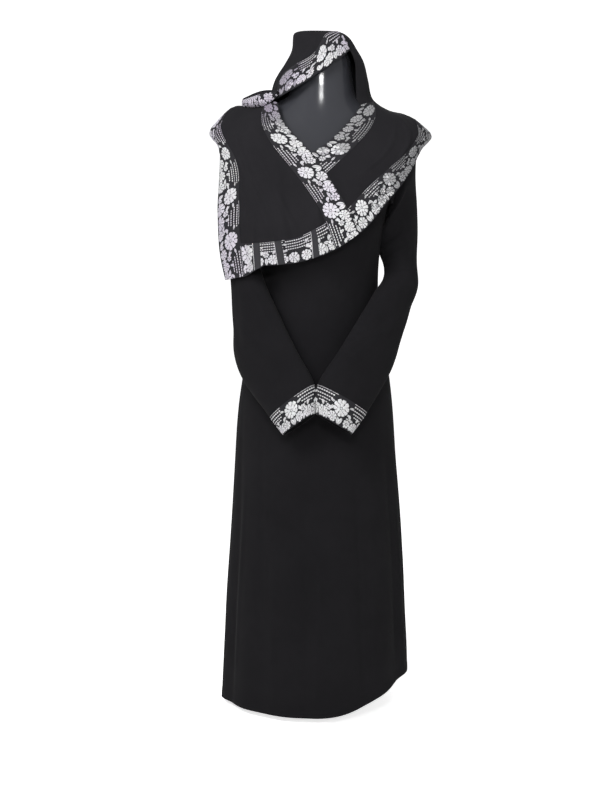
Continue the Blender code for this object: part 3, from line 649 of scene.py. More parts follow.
@dataclass
class ClothGrid:
    """A stretch of cloth as rows of points down it, with the directions out of it."""

    points: np.ndarray
    normals: np.ndarray
    closed: bool = False

    def lifted(self, height: float) -> np.ndarray:
        """The points moved out along the directions."""
        return self.points + self.normals * height

    def part(self, rows: slice | np.ndarray, columns: slice | np.ndarray) -> "ClothGrid":
        """Some rows and columns of the cloth."""
        closed = self.closed and isinstance(columns, slice) and columns == slice(None)
        return ClothGrid(self.points[rows][:, columns], self.normals[rows][:, columns], closed)

    def lengths(self) -> np.ndarray:
        """Measure the cloth.

        Returns:
            A pair of lengths for each point, round the cloth and down it.
        """
        across = np.linalg.norm(np.diff(self.points, axis=1), axis=-1)
        down = np.linalg.norm(np.diff(self.points, axis=0), axis=-1)
        u = np.cumsum(np.pad(across.mean(axis=0), (1, 0)))
        v = np.cumsum(np.pad(down.mean(axis=1), (1, 0)))
        return np.stack(np.meshgrid(u, v), axis=-1)

    def shell(self, name: str, material: bpy.types.Material, thick: float, lift: float = 0.0,
              capped: bool = False) -> bpy.types.Object:
        """A thin closed shell of cloth.

        Args:
            name: The piece's name.
            material: Its finish.
            thick: The cloth's thickness.
            lift: How far the shell's inner face stands off the grid.
            capped: Whether the first row is closed over.

        Returns:
            The new object.
        """
        rows, columns = self.points.shape[:2]
        half, last = rows * columns, (rows - 1) * columns
        quads = grid_faces(rows, columns, self.closed)
        faces = (quads + half).tolist() + quads[:, ::-1].tolist()
        for i in range(columns if self.closed else columns - 1):
            j = (i + 1) % columns
            if not capped:
                faces.append((i, half + i, half + j, j))
            faces.append((half + last + i, last + i, last + j, half + last + j))
        if capped:
            faces += [range(half, half + columns), range(columns - 1, -1, -1)]
        if not self.closed:
            for p in range(0, last, columns):
                q = p + columns
                e, f = q - 1, q + columns - 1
                faces += [(half + p, p, q, half + q), (e, half + e, half + f, f)]
        uv = self.lengths().reshape(-1, 2)
        maker = MeshMaker(name)
        for height in (lift, lift + thick):
            maker.points.append(self.lifted(height).reshape(-1, 3))
        maker.add(np.empty((0, 3)), faces)
        return maker.make([material], uv=np.concatenate([uv, uv]))


# ---------------------------------------------------------------- finishes

class Slot(Enum):
    """The record's material slots."""

    CLOTH = "black_cloth"
    BAND = "floral_band"
    GLOSS = "gloss_black"


class Nodes:
    """Adds and joins shader nodes in one tree."""

    def __init__(self, tree: bpy.types.NodeTree) -> None:
        """Work in one node tree."""
        self.tree = tree

    def feed(self, node: bpy.types.Node, values: dict[str | int, object]) -> None:
        """Set a node's inputs to plain values, or join them to outputs.

        Args:
            node: The node.
            values: Values or outputs, by input name.
        """
        for key, value in values.items():
            if isinstance(value, bpy.types.NodeSocket):
                self.tree.links.new(value, node.inputs[key])
            else:
                node.inputs[key].default_value = value

    def add(self, kind: str, values: dict[str | int, object] | None = None,
            **settings: object) -> bpy.types.Node:
        """Add a node.

        Args:
            kind: The node's type.
            values: Values or outputs, by input name.
            settings: The node's own settings.

        Returns:
            The node.
        """
        node = self.tree.nodes.new(kind)
        for key, value in settings.items():
            setattr(node, key, value)
        self.feed(node, values or {})
        return node

    def maths(self, operation: str, first: object, second: object) -> bpy.types.NodeSocket:
        """The output of a maths node on two values or outputs."""
        return self.add("ShaderNodeMath", {0: first, 1: second}, operation=operation).outputs[0]

    def noise(self, place: bpy.types.NodeSocket, scale: float, detail: float,
              roughness: float = 0.5) -> bpy.types.NodeSocket:
        """A soft unevenness."""
        return self.add("ShaderNodeTexNoise", {"Vector": place, "Scale": scale, "Detail": detail,
                                               "Roughness": roughness}).outputs["Fac"]

    def spread(self, value: bpy.types.NodeSocket, low: float, high: float, start: float = 0.0,
               end: float = 1.0) -> bpy.types.NodeSocket:
        """A value that runs from `start` to `end`, spread from `low` to `high`."""
        return self.add("ShaderNodeMapRange", {
            "Value": value, "From Min": start, "From Max": end, "To Min": low,
            "To Max": high}).outputs["Result"]

    def blend(self, share: object, low: object, high: object,
              how: str = "MIX") -> bpy.types.NodeSocket:
        """A colour between two colours, or one colour multiplied by another."""
        return self.add("ShaderNodeMix", {"Factor": share, "A": low, "B": high},
                        data_type="RGBA", blend_type=how).outputs["Result"]

    def relief(self, height: bpy.types.NodeSocket, strength: float,
               distance: float) -> bpy.types.NodeSocket:
        """The normal of a raised surface."""
        return self.add("ShaderNodeBump", {"Height": height, "Strength": strength,
                                           "Distance": distance}).outputs["Normal"]


def new_group(name: str, detail: str, value: float,
              outputs: Sequence[str]) -> tuple[Nodes, bpy.types.Node, bpy.types.Node]:
    """Start a shader node group, which takes a place and one number.

    Args:
        name: The group's name.
        detail: The number's name.
        value: The number's first value.
        outputs: Names of the numbers that it puts out.

    Returns:
        The group's nodes, its input node and its output node.
    """
    tree = bpy.data.node_groups.new(name, "ShaderNodeTree")
    tree.interface.new_socket("Place", in_out="INPUT", socket_type="NodeSocketVector")
    number = tree.interface.new_socket(detail, in_out="INPUT", socket_type="NodeSocketFloat")
    number.default_value = value
    for key in outputs:
        tree.interface.new_socket(key, in_out="OUTPUT", socket_type="NodeSocketFloat")
    nodes = Nodes(tree)
    return nodes, nodes.add("NodeGroupInput"), nodes.add("NodeGroupOutput")


def weave_group() -> bpy.types.NodeTree:
    """Build the plain weave.

    Returns:
        A node group for the height of crossing threads and a slow change of tone.
    """
    nodes, start, end = new_group("plain_weave", "Threads", 1400.0, ("Height", "Tone"))
    place = start.outputs["Place"]
    waves = [nodes.add("ShaderNodeTexWave", {
        "Vector": place, "Scale": nodes.maths("MULTIPLY", start.outputs["Threads"], 0.16),
        "Distortion": 0.6, "Detail": 1.0}, bands_direction=direction).outputs["Fac"]
        for direction in ("X", "Y")]
    slubs = nodes.maths("MULTIPLY", nodes.noise(place, scale=260.0, detail=3.0), 0.6)
    nodes.feed(end, {"Height": nodes.maths("ADD", nodes.maths("MAXIMUM", *waves), slubs),
                     "Tone": nodes.noise(place, scale=7.0, detail=4.0, roughness=0.6)})
    return nodes.tree


def thread_group() -> bpy.types.NodeTree:
    """Build the bright thread.

    Returns:
        A node group for the height of fine stitches, where they glint and a change of tone.
    """
    nodes, start, end = new_group("bright_thread", "Grain", 900.0, ("Height", "Glint", "Tone"))
    place = start.outputs["Place"]
    grain = nodes.add("ShaderNodeTexVoronoi", {"Vector": place, "Scale": start.outputs["Grain"]},
                      feature="F1")
    spots = nodes.add("ShaderNodeSeparateColor", {"Color": grain.outputs["Color"]})
    nodes.feed(end, {"Height": nodes.maths("SUBTRACT", 1.0, grain.outputs["Distance"]),
                     "Glint": spots.outputs["Red"],
                     "Tone": nodes.noise(place, scale=5.5, detail=2.0)})
    return nodes.tree


@dataclass(frozen=True)
class Finish:
    """What every finish has: a name, two tones and a roughness."""

    name: str
    low: Point
    high: Point
    roughness: float

    def start(self) -> tuple[bpy.types.Material, Nodes, bpy.types.Node]:
        """Start the material.

        Returns:
            The material, its nodes and its plain shader.
        """
        material = bpy.data.materials.new(self.name)
        material.use_nodes = True
        shader = material.node_tree.nodes["Principled BSDF"]
        shader.inputs["Roughness"].default_value = self.roughness
        return material, Nodes(material.node_tree), shader

    def tone(self, nodes: Nodes, share: bpy.types.NodeSocket) -> bpy.types.NodeSocket:
        """A colour between the two tones."""
        return nodes.blend(share, (*self.low, 1.0), (*self.high, 1.0))


@dataclass(frozen=True)
class WovenCloth(Finish):
    """Matte woven cloth."""

    sheen: float
    threads: float = 1400.0
    weave_relief: float = 0.25

    def make(self, weave: bpy.types.NodeTree) -> bpy.types.Material:
        """Make the material.

        Args:
            weave: The weave's node group.

        Returns:
            The material.
        """
        material, nodes, shader = self.start()
        place = nodes.add("ShaderNodeTexCoord").outputs["UV"]
        group = nodes.add("ShaderNodeGroup", node_tree=weave)
        nodes.feed(group, {"Threads": self.threads, "Place": place})
        nodes.feed(shader, {
            "Base Color": self.tone(nodes, group.outputs["Tone"]),
            "Normal": nodes.relief(group.outputs["Height"], self.weave_relief, distance=0.0002),
            "Sheen Weight": self.sheen, "Sheen Roughness": 0.6, "Specular IOR Level": 0.12})
        return material


@dataclass(frozen=True)
class SilverThread(Finish):
    """Silver thread that glints in grains, in places with a lilac cast that is painted reflection
    of coloured light.
    """

    grain: float = 900.0
    metal: float = 0.35

    def make(self, thread: bpy.types.NodeTree) -> bpy.types.Material:
        """Make the material.

        Args:
            thread: The thread's node group.

        Returns:
            The material.
        """
        material, nodes, shader = self.start()
        place = nodes.add("ShaderNodeTexCoord").outputs["Object"]
        group = nodes.add("ShaderNodeGroup", node_tree=thread)
        nodes.feed(group, {"Grain": self.grain, "Place": place})
        glint = group.outputs["Glint"]
        tone = self.tone(nodes, nodes.spread(group.outputs["Tone"], 0.0, 1.0, start=0.50,
                                             end=0.68))
        nodes.feed(shader, {
            "Base Color": nodes.blend(0.45, tone, nodes.spread(glint, 0.35, 1.0), "MULTIPLY"),
            "Roughness": nodes.spread(glint, self.roughness + 0.15, self.roughness - 0.12),
            "Normal": nodes.relief(group.outputs["Height"], strength=0.5, distance=0.0004),
            "Metallic": self.metal})
        return material


@dataclass(frozen=True)
class SmoothCoat(Finish):
    """A hard coat, glossy or satin, with a faint unevenness."""

    metal: float = 0.0
    coat: float = 0.0
    ripple: float = 0.04

    def make(self) -> bpy.types.Material:
        """Make the material.

        Returns:
            The material.
        """
        material, nodes, shader = self.start()
        place = nodes.add("ShaderNodeTexCoord").outputs["Object"]
        slow = nodes.noise(place, scale=6.0, detail=3.0)
        nodes.feed(shader, {
            "Base Color": self.tone(nodes, slow),
            "Normal": nodes.relief(slow, self.ripple, distance=0.002), "Metallic": self.metal,
            "Coat Weight": self.coat, "Coat Roughness": 0.04})
        return material


class Finishes:
    """All the finishes of the kaftan and its form."""

    def __init__(self) -> None:
        """Build each finish once."""
        weave, thread = weave_group(), thread_group()
        self.crepe = WovenCloth(
            "black_crepe", (0.0052, 0.0050, 0.0058), (0.0105, 0.0100, 0.0115),
            roughness=0.92, sheen=0.015).make(weave)
        self.shawl_crepe = WovenCloth(
            "black_shawl_crepe", (0.0080, 0.0077, 0.0090), (0.0160, 0.0153, 0.0175),
            roughness=0.90, sheen=0.015).make(weave)
        self.satin = WovenCloth(
            "black_satin_band", (0.012, 0.012, 0.014), (0.022, 0.021, 0.024),
            roughness=0.60, sheen=0.03, threads=1900.0, weave_relief=0.2).make(weave)
        self.pleat = WovenCloth(
            "grey_satin_pleat", (0.020, 0.020, 0.022), (0.034, 0.033, 0.037),
            roughness=0.60, sheen=0.05, threads=1900.0, weave_relief=0.2).make(weave)
        # Each thread's second tone is a lilac cast: painted reflection of coloured light, laid in
        # random patches
        self.silver = SilverThread(
            "silver_thread", (0.76, 0.76, 0.77), (0.65, 0.60, 0.70),
            roughness=0.45).make(thread)
        # A darker copy of the silver thread: painted shade, for stretches of band that lie in
        # shadow
        self.shaded_silver = SilverThread(
            "dull_silver_thread", (0.42, 0.42, 0.43), (0.37, 0.33, 0.41),
            roughness=0.50).make(thread)
        self.gloss = SmoothCoat(
            "gloss_black_shell", (0.028, 0.029, 0.034), (0.036, 0.037, 0.043),
            roughness=0.13, coat=0.20).make()
        self.steel = SmoothCoat(
            "satin_black_steel", (0.020, 0.020, 0.021), (0.032, 0.032, 0.034),
            roughness=0.42, metal=0.6).make()


# ---------------------------------------------------------------- flowered bands

@dataclass(frozen=True)
class Blossom:
    """A blossom: place along and across the band, radius, petals and turn in degrees."""

    along: float
    across: float
    radius: float
    petals: int
    turn: float


@dataclass(frozen=True)
class Leaf:
    """A leaf: place of its foot along and across the band, length, width, turn in degrees."""

    along: float
    across: float
    length: float
    width: float
    turn: float


@dataclass(frozen=True)
class DashLine:
    """A line of short dashes along the band, from start to end, with their measures."""

    start: float
    end: float
    across: float
    length: float = 0.0036
    gap: float = 0.0016
    wide: float = 0.0023


@dataclass(frozen=True)
class PetalRing:
    """A ring of petals: shares of the radius where they start and end, and its twist."""

    start: float
    end: float
    twist: float = 0.0


@dataclass(frozen=True)
class PlainPleat:
    """A plain pleat over a band: place at the plain cloth and at the free edge, half width."""

    top: float
    foot: float
    half: float


class Ink(Enum):
    """What a raised shape on a band is made of."""

    THREAD = 0
    GROUND = 1
    PLEAT = 2
    # Thread darkened as painted shade
    SHADED_THREAD = 3


# How far the plain strips lie along the foot band from the crests of its pleats
PLEAT_STRIPS = table(PlainPleat, (
    (-0.001, 0.003, 0.008), (-0.025, -0.012, 0.0098), (-0.025, -0.012, 0.0078),
))

# One repeat of the chart, in metres on a band 5 cm wide; 0 across is beside the plain cloth
REPEAT = 0.086
CHART_WIDTH = 0.050
BLOSSOMS = table(Blossom, (
    (0.061, 0.0385, 0.011, 8, 12), (0.0355, 0.039, 0.0114, 8, 0), (0.083, 0.04, 0.0096, 7, 30),
    (0.048, 0.0272, 0.0066, 6, 10), (0.019, 0.0185, 0.0165, 10, 8),
))
LEAVES = table(Leaf, (
    (0.01, 0.034, 0.016, 0.007, 66), (0.0215, 0.035, 0.015, 0.007, 104),
    (0.0005, 0.029, 0.014, 0.0058, 142), (0.0485, 0.034, 0.016, 0.0062, 84),
    (0.0725, 0.036, 0.014, 0.0062, 98), (0.069, 0.03, 0.014, 0.0056, 16),
    (0.061, 0.0275, 0.01, 0.0044, -76), (0.041, 0.0275, 0.01, 0.0044, -104),
    (0.079, 0.03, 0.011, 0.0046, -66), (0.035, 0.023, 0.012, 0.0042, 10),
    (0.035, 0.013, 0.01, 0.0034, -12), (0.0035, 0.023, 0.011, 0.0036, 172),
    (0.0025, 0.011, 0.009, 0.0032, 196),
))
DASH_LINES = table(DashLine, (
    (0.042, 0.085, 0.0046), (0.044, 0.084, 0.01), (0.048, 0.082, 0.0154), (0.054, 0.076, 0.0206),
))
LARGEST = BLOSSOMS[-1]
EDGE_LINE = DashLine(0.0360, 0.0880, 0.0010, 0.0060, 0.0010, 0.0008)
INSTEAD_OF_LARGEST = Blossom(0.0130, 0.0385, 0.0112, 8, 0)

# Petals of a small blossom and the two rings of a double one, and their eyes' shares of the radius
SINGLE = PetalRing(0.26, 1.0)
OUTER = PetalRing(0.42, 1.0)
INNER = PetalRing(0.13, 0.62, 0.4)
INNER_PETALS = 6
SINGLE_EYE = 0.20
DOUBLE_EYE = 0.11

# Black ground under a blossom, in shares of its radius, and under its inner ring
BACKING_RINGS = (1.0, 0.72, 0.42)
BACKING_REACH = 1.02
INNER_BACKING_REACH = 0.98

# Rings of a dome inside its rim, as shares of its outline and of its crest's height
DOME_RINGS = ((0.90, 0.45), (0.50, 0.9))

# Points round a backing, a petal and an eye, and along each side of a leaf
BACKING_POINTS = 18
PETAL_POINTS = 10
EYE_POINTS = 8
LEAF_POINTS = 6

# How far shapes stray: a repeat's place, turns in degrees, sizes, petals and the painted shade's
# end
PLACE_SPREAD = 0.0015
LEAF_TURN_SPREAD = 8
BLOSSOM_TURN_SPREAD = 14
SIZE_SPREAD = (0.90, 1.06)
PETAL_SPREAD = (-0.08, 0.05)
SHADED_END_SPREAD = (0.75, 1.25)

# Across a plain pleat, in shares of its half width, and how many rows of points run along it
PLEAT_PROFILE = (-1, -0.96, -0.6, 0, 0.6, 0.96, 1)
PLEAT_ROWS = 9


@dataclass
class BandPatch:
    """The face of a band, read by lengths along it and across it.

    `grid` has its rows along the band and its columns across, from the plain cloth to the
    free edge.
    """

    grid: np.ndarray
    normals: np.ndarray
    end_gap: float = 0.0004
    side_share: float = 0.012

    def __post_init__(self) -> None:
        """Measure the band along its middle."""
        self.rows, self.columns = self.grid.shape[:2]
        self.along = lengths_along(self.grid[:, self.columns // 2])
        self.length = float(self.along[-1])
        across = np.linalg.norm(np.diff(self.grid, axis=1), axis=-1).sum(axis=1)
        self.width = float(np.median(across))

    def place(self, flat: np.ndarray) -> np.ndarray:
        """Points on the band.

        Args:
            flat: Lengths along it and across it, and heights over its face.

        Returns:
            The points.
        """
        along = np.clip(flat[:, 0], self.end_gap, self.length - self.end_gap)
        share = np.clip(flat[:, 1] / self.width, self.side_share, 1 - self.side_share)
        r = np.interp(along, self.along, np.arange(self.rows))
        c = share * (self.columns - 1)
        r0 = np.clip(np.floor(r).astype(int), 0, self.rows - 2)
        c0 = np.clip(np.floor(c).astype(int), 0, self.columns - 2)
        fr, fc = (r - r0)[:, None], (c - c0)[:, None]
        point, normal = (
            rows[r0, c0] * (1 - fr) * (1 - fc) + rows[r0 + 1, c0] * fr * (1 - fc)
            + rows[r0, c0 + 1] * (1 - fr) * fc + rows[r0 + 1, c0 + 1] * fr * fc
            for rows in (self.grid, self.normals))
        return point + unit(normal) * flat[:, 2:]


@dataclass
class FlowerWork:
    """Draws the chart's blossoms, leaves and dashes on a band, as low raised thread.

    The base of a shape is how far its foot stands off the band.
    """

    patch: BandPatch
    seed: int
    pleats: Sequence[PlainPleat] = ()
    phase: float = 0.0
    large_at: Sequence[float] | None = None
    # Share of the band, from its start, whose thread is darkened as painted shade
    dull_share: float = 0.0
    crest: float = 0.00032
    rim: float = 0.00012
    layer: float = 0.00036
    pleat_lift: float = 0.0013
    parting: float = 0.0011
    overlap: float = 0.00028
    double_radius: float = 0.0095
    least_scale: float = 0.8
    most_scale: float = 1.15
    widest: float = 0.6
    petal_fullness: float = 0.38
    notch: float = 0.09
    leaf_fullness: float = 0.8
    vein: float = 0.00030
    vein_side: float = 0.00028
    dash_end_gap: float = 0.0005
    pleat_crown: float = 0.0006
    # Width, taper and sink of the painted highlight along a pleat's fold
    fold_highlight: float = 0.0006
    fold_highlight_taper: float = 0.9
    fold_highlight_sink: float = 0.0001

    def __post_init__(self) -> None:
        """Start with an empty band, and fit the chart to its length and width."""
        self.random = np.random.default_rng(self.seed)
        self.shapes: list[tuple[np.ndarray, Sequence[Sequence[int]], Ink]] = []
        self.tall = self.patch.width / CHART_WIDTH
        self.scale = min(self.most_scale, max(self.least_scale, self.tall))
        self.repeats = max(1, round(self.patch.length / REPEAT / self.scale))
        self.stretch = self.patch.length / self.repeats / REPEAT

    def dome(self, outline: np.ndarray, middle: np.ndarray, base: float) -> None:
        """Add one low dome.

        Args:
            outline: Pairs along and across for its rim.
            middle: The pair at its crest.
            base: Its base.
        """
        count = len(outline)
        levels = [(1.0, 0.0), *((share, self.rim + self.crest * height)
                                for share, height in DOME_RINGS)]
        rings = [np.column_stack([middle + (outline - middle) * share,
                                  np.full(count, base + rise)]) for share, rise in levels]
        flat = np.concatenate([*rings, [(*middle, base + self.rim + self.crest)]])
        self.shapes.append((flat, disc_faces(len(rings), count), Ink.THREAD))

    def backing(self, middle: np.ndarray, radius: float, base: float) -> None:
        """Add the black ground that parts a blossom from the one under it.

        Args:
            middle: Its middle.
            radius: Its radius.
            base: Its base.
        """
        rim = circle(BACKING_POINTS) * radius
        flat = np.concatenate([*(rim * share for share in BACKING_RINGS), [(0, 0)]]) + middle
        flat = np.column_stack([flat, np.full(len(flat), base)])
        self.shapes.append((flat, disc_faces(len(BACKING_RINGS), BACKING_POINTS), Ink.GROUND))

    def petal(self, middle: np.ndarray, angle: float, inner: float, outer: float,
              width: float, base: float) -> None:
        """Add one petal, broadest toward its notched tip.

        Args:
            middle: The blossom's middle.
            angle: The petal's direction, in radians.
            inner: Distance of its foot from the middle.
            outer: Distance of its tip from the middle.
            width: Its width.
            base: Its base.
        """
        ring = circle(PETAL_POINTS)
        x = (inner + outer) / 2 + (outer - inner) / 2 * ring[:, 0]
        y = width / 2 * ring[:, 1] * (1 + self.petal_fullness * ring[:, 0])
        x[0] -= (outer - inner) * self.notch
        crest = inner * 0.45 + outer * 0.55
        self.dome(middle + turned(x, y, angle),
                  middle + crest * np.array([math.cos(angle), math.sin(angle)]), base)

    def blossom(self, flower: Blossom, base: float) -> None:
        """Add a blossom: a ring of petals, on the large ones a second ring, and an eye.

        Args:
            flower: Its place, size, petals and turn on this band.
            base: Its base.
        """
        middle, radius = np.array([flower.along, flower.across]), flower.radius
        double = radius > self.double_radius * self.scale
        self.backing(middle, radius * BACKING_REACH, base)
        self.petals(flower, OUTER if double else SINGLE, flower.petals, base)
        if double:
            base += self.overlap
            self.backing(middle, radius * INNER.end * INNER_BACKING_REACH, base)
            self.petals(flower, INNER, INNER_PETALS, base)
        eye = radius * (DOUBLE_EYE if double else SINGLE_EYE)
        self.dome(middle + circle(EYE_POINTS) * eye, middle, base)

    def petals(self, flower: Blossom, ring: PetalRing, count: int, base: float) -> None:
        """Add a ring of a blossom's petals.

        Args:
            flower: The blossom.
            ring: Where the petals start and end, and their twist.
            count: How many there are.
            base: Their base.
        """
        middle = np.array([flower.along, flower.across])
        widest = ring.start * (1 - self.widest) + ring.end * self.widest
        pitch = math.tau * flower.radius * widest / count
        for i in range(count):
            angle = math.radians(flower.turn) + ring.twist + math.tau * i / count
            reach = flower.radius * (1 + self.random.uniform(*PETAL_SPREAD))
            self.petal(middle, angle, reach * ring.start, reach * ring.end,
                       pitch - self.parting, base)

    def leaf(self, leaf: Leaf) -> None:
        """Add a pointed leaf in two halves with a vein between them.

        Args:
            leaf: Its place, size and turn on this band.
        """
        t = np.linspace(0, 1, LEAF_POINTS)
        belly = leaf.width * 0.5 * np.sin(np.pi * t) ** self.leaf_fullness + self.vein
        x = np.concatenate([t, t[-2:0:-1]]) * leaf.length
        y = np.concatenate([belly, np.full(len(t) - 2, self.vein_side)])
        for side in (1, -1):
            outline = (leaf.along, leaf.across) + turned(x, y * side, math.radians(leaf.turn))
            self.dome(outline[::side], outline.mean(axis=0), 0.0)

    def dashes(self, line: DashLine, first: float) -> None:
        """Add a line of dashes.

        Args:
            line: The chart's line.
            first: Where its repeat starts along the band.
        """
        at, end = first + line.start * self.stretch, first + line.end * self.stretch
        across = line.across * self.tall
        while at + line.length < end:
            tip = at + line.length
            if self.dash_end_gap < at and tip < self.patch.length - self.dash_end_gap:
                v = across + np.array([-0.5, -0.5, 0.5, 0.5]) * line.wide
                self.dome(np.column_stack([(at, tip, tip, at), v]),
                          np.array([at + line.length / 2, across]), 0.0)
            at += line.length + line.gap

    def plain_pleat(self, pleat: PlainPleat) -> None:
        """Add a plain pleat, with a strip of silver thread along its fold's edge as a painted
        highlight.

        Args:
            pleat: Its places along the band, and its half width.
        """
        share = np.array(PLEAT_PROFILE)
        lift = self.pleat_lift + self.pleat_crown * (1 - share**2)
        lift[[0, -1]] = 0.0
        across = np.linspace(0.0, 1.0, PLEAT_ROWS)[:, None]
        centre = pleat.top + (pleat.foot - pleat.top) * across
        grid = np.stack(np.broadcast_arrays(centre + share * pleat.half,
                                            across * self.patch.width, lift), axis=-1)
        self.shapes.append((grid.reshape(-1, 3), flat_faces(*grid.shape[:2]), Ink.PLEAT))
        # Silver thread along the fold's edge: painted highlight where the fold catches the light
        side = np.array([self.fold_highlight, 0.0])
        for start, end in zip(grid[:-1, 1, :2], grid[1:, 1, :2]):
            slim = side * self.fold_highlight_taper
            outline = np.array([start - side, start + side, end + slim, end - slim])
            self.dome(outline, (start + end) / 2, self.pleat_lift - self.fold_highlight_sink)

    def draw_repeat(self, first: float) -> None:
        """Draw one repeat of the chart.

        Args:
            first: Where it starts along the band.
        """
        shift = first + self.random.uniform(-PLACE_SPREAD, PLACE_SPREAD)
        for row in LEAVES:
            turn = row.turn + self.random.uniform(-LEAF_TURN_SPREAD, LEAF_TURN_SPREAD)
            self.leaf(Leaf(shift + row.along * self.stretch, row.across * self.tall,
                           row.length * self.scale, row.width * self.scale, turn))
        for n, row in enumerate(BLOSSOMS):
            if row is LARGEST and self.large_at is not None:
                row = INSTEAD_OF_LARGEST
            radius = row.radius * self.scale * self.random.uniform(*SIZE_SPREAD)
            turn = row.turn + self.random.uniform(-BLOSSOM_TURN_SPREAD, BLOSSOM_TURN_SPREAD)
            self.blossom(Blossom(shift + row.along * self.stretch, row.across * self.tall,
                                 radius, row.petals, turn), self.layer * (n % 3))
        for row in DASH_LINES:
            start = row.start if self.large_at is None else 0.0
            self.dashes(DashLine(start, row.end, row.across), first)
        self.dashes(EDGE_LINE, first)

    def draw(self) -> None:
        """Draw as many repeats of the chart as the band holds."""
        for i in range(-1, self.repeats + 1):
            self.draw_repeat((i + self.phase) * REPEAT * self.stretch)
        for along in self.large_at or ():
            self.blossom(Blossom(along, LARGEST.across * self.tall, LARGEST.radius * self.scale,
                                 LARGEST.petals, LARGEST.turn), self.layer)
        for pleat in self.pleats:
            self.plain_pleat(pleat)

    def make(self, name: str, materials: Sequence[bpy.types.Material]) -> bpy.types.Object:
        """Make the joined mesh of all that was drawn.

        Args:
            name: The piece's name.
            materials: Its finishes: thread, ground, pleat and thread darkened as painted shade.

        Returns:
            The new object.
        """
        self.draw()
        maker = MeshMaker(name)
        for flat, faces, ink in self.shapes:
            along, across = flat[:, :2].mean(axis=0)
            if not 0 < along < self.patch.length or not 0 < across < self.patch.width:
                continue
            # Thread nearer the band's start than this takes the darker finish: painted shade
            shaded_end = (self.dull_share * self.patch.length
                        * self.random.uniform(*SHADED_END_SPREAD))
            if ink is Ink.THREAD and along < shaded_end:
                ink = Ink.SHADED_THREAD
            maker.add(self.patch.place(flat), faces, ink.value)
        return maker.make(materials)


@dataclass
class Trim:
    """The band on an edge: its black ground and its flowers.

    It runs down the rows of the cloth under it, or across them. Its free edge is the last column
    or row of that cloth, or the first where it is flipped.
    """

    finishes: Finishes
    name: str
    replaces: str | None
    seed: int
    down: bool = False
    flip: bool = False
    cloth: float = SHAWL_CLOTH

    def patch(self, grid: ClothGrid) -> BandPatch:
        """The band's face.

        Args:
            grid: The cloth under the band.

        Returns:
            The face, with its rows along the band.
        """
        face, normals = grid.lifted(self.cloth + OVERLAY + BAND_CLOTH), grid.normals
        if grid.closed:
            face, normals = (np.concatenate([a, a[:, :1]], axis=1) for a in (face, normals))
        if not self.down:
            face, normals = face.swapaxes(0, 1), normals.swapaxes(0, 1)
        if self.flip:
            face, normals = face[:, ::-1], normals[:, ::-1]
        return BandPatch(face, normals)

    def dress(self, grid: ClothGrid, **chart: object) -> list[bpy.types.Object]:
        """Lay the band on the cloth.

        Args:
            grid: The cloth under the band.
            chart: What its flower work has of its own.

        Returns:
            The ground and the flowers.
        """
        ground = grid.shell(self.name, self.finishes.satin, BAND_CLOTH, self.cloth + OVERLAY)
        settle(ground, Slot.BAND, self.replaces)
        patch = self.patch(grid)
        flowers = FlowerWork(patch, self.seed, **chart).make(self.name + "_flowers", [
            self.finishes.silver, self.finishes.satin, self.finishes.pleat,
            self.finishes.shaded_silver])
        settle(flowers, Slot.BAND)
        LOG.info("%s: band of %.2f m, %.3f m wide", self.name, patch.length, patch.width)
        return [ground, flowers]


def settle(piece: bpy.types.Object, slot: Slot, replaces: str | None = None) -> None:
    """Let a piece ride on the body and stand for a node.

    Args:
        piece: The piece.
        slot: Its slot; not used.
        replaces: The node that it stands for.
    """
    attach(piece, "root")
    if replaces:
        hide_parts(replaces)
    LOG.info("%s: %d faces", piece.name, len(piece.data.polygons))


# ---------------------------------------------------------------- dress form

@dataclass
class DressForm:
    """Torso and neck, pole and base."""

    finishes: Finishes
    surface: RingSurface = RingSurface(FORM_RINGS)
    turn_step: float = 2.5
    rows: int = 120

    def build(self) -> None:
        """Build the smooth shell, and give the pole and base their finish."""
        angles = np.arange(0, 360, self.turn_step)
        stations = np.linspace(0, FORM_RINGS[-1].at, self.rows)
        points = self.surface.point(angles[None, :], stations[:, None]).reshape(-1, 3)
        columns, count = len(angles), len(points)
        faces = grid_faces(self.rows, columns, closed=True).tolist()
        faces += [range(columns), range(count - 1, count - columns - 1, -1)]
        maker = MeshMaker("form_shell")
        maker.add(points, faces)
        settle(maker.make([self.finishes.gloss]), Slot.GLOSS, "form_torso")
        for node in ("form_pole", "form_base"):
            materials = bpy.data.objects[node].data.materials
            materials.clear()
            materials.append(self.finishes.steel)


# ---------------------------------------------------------------- gown

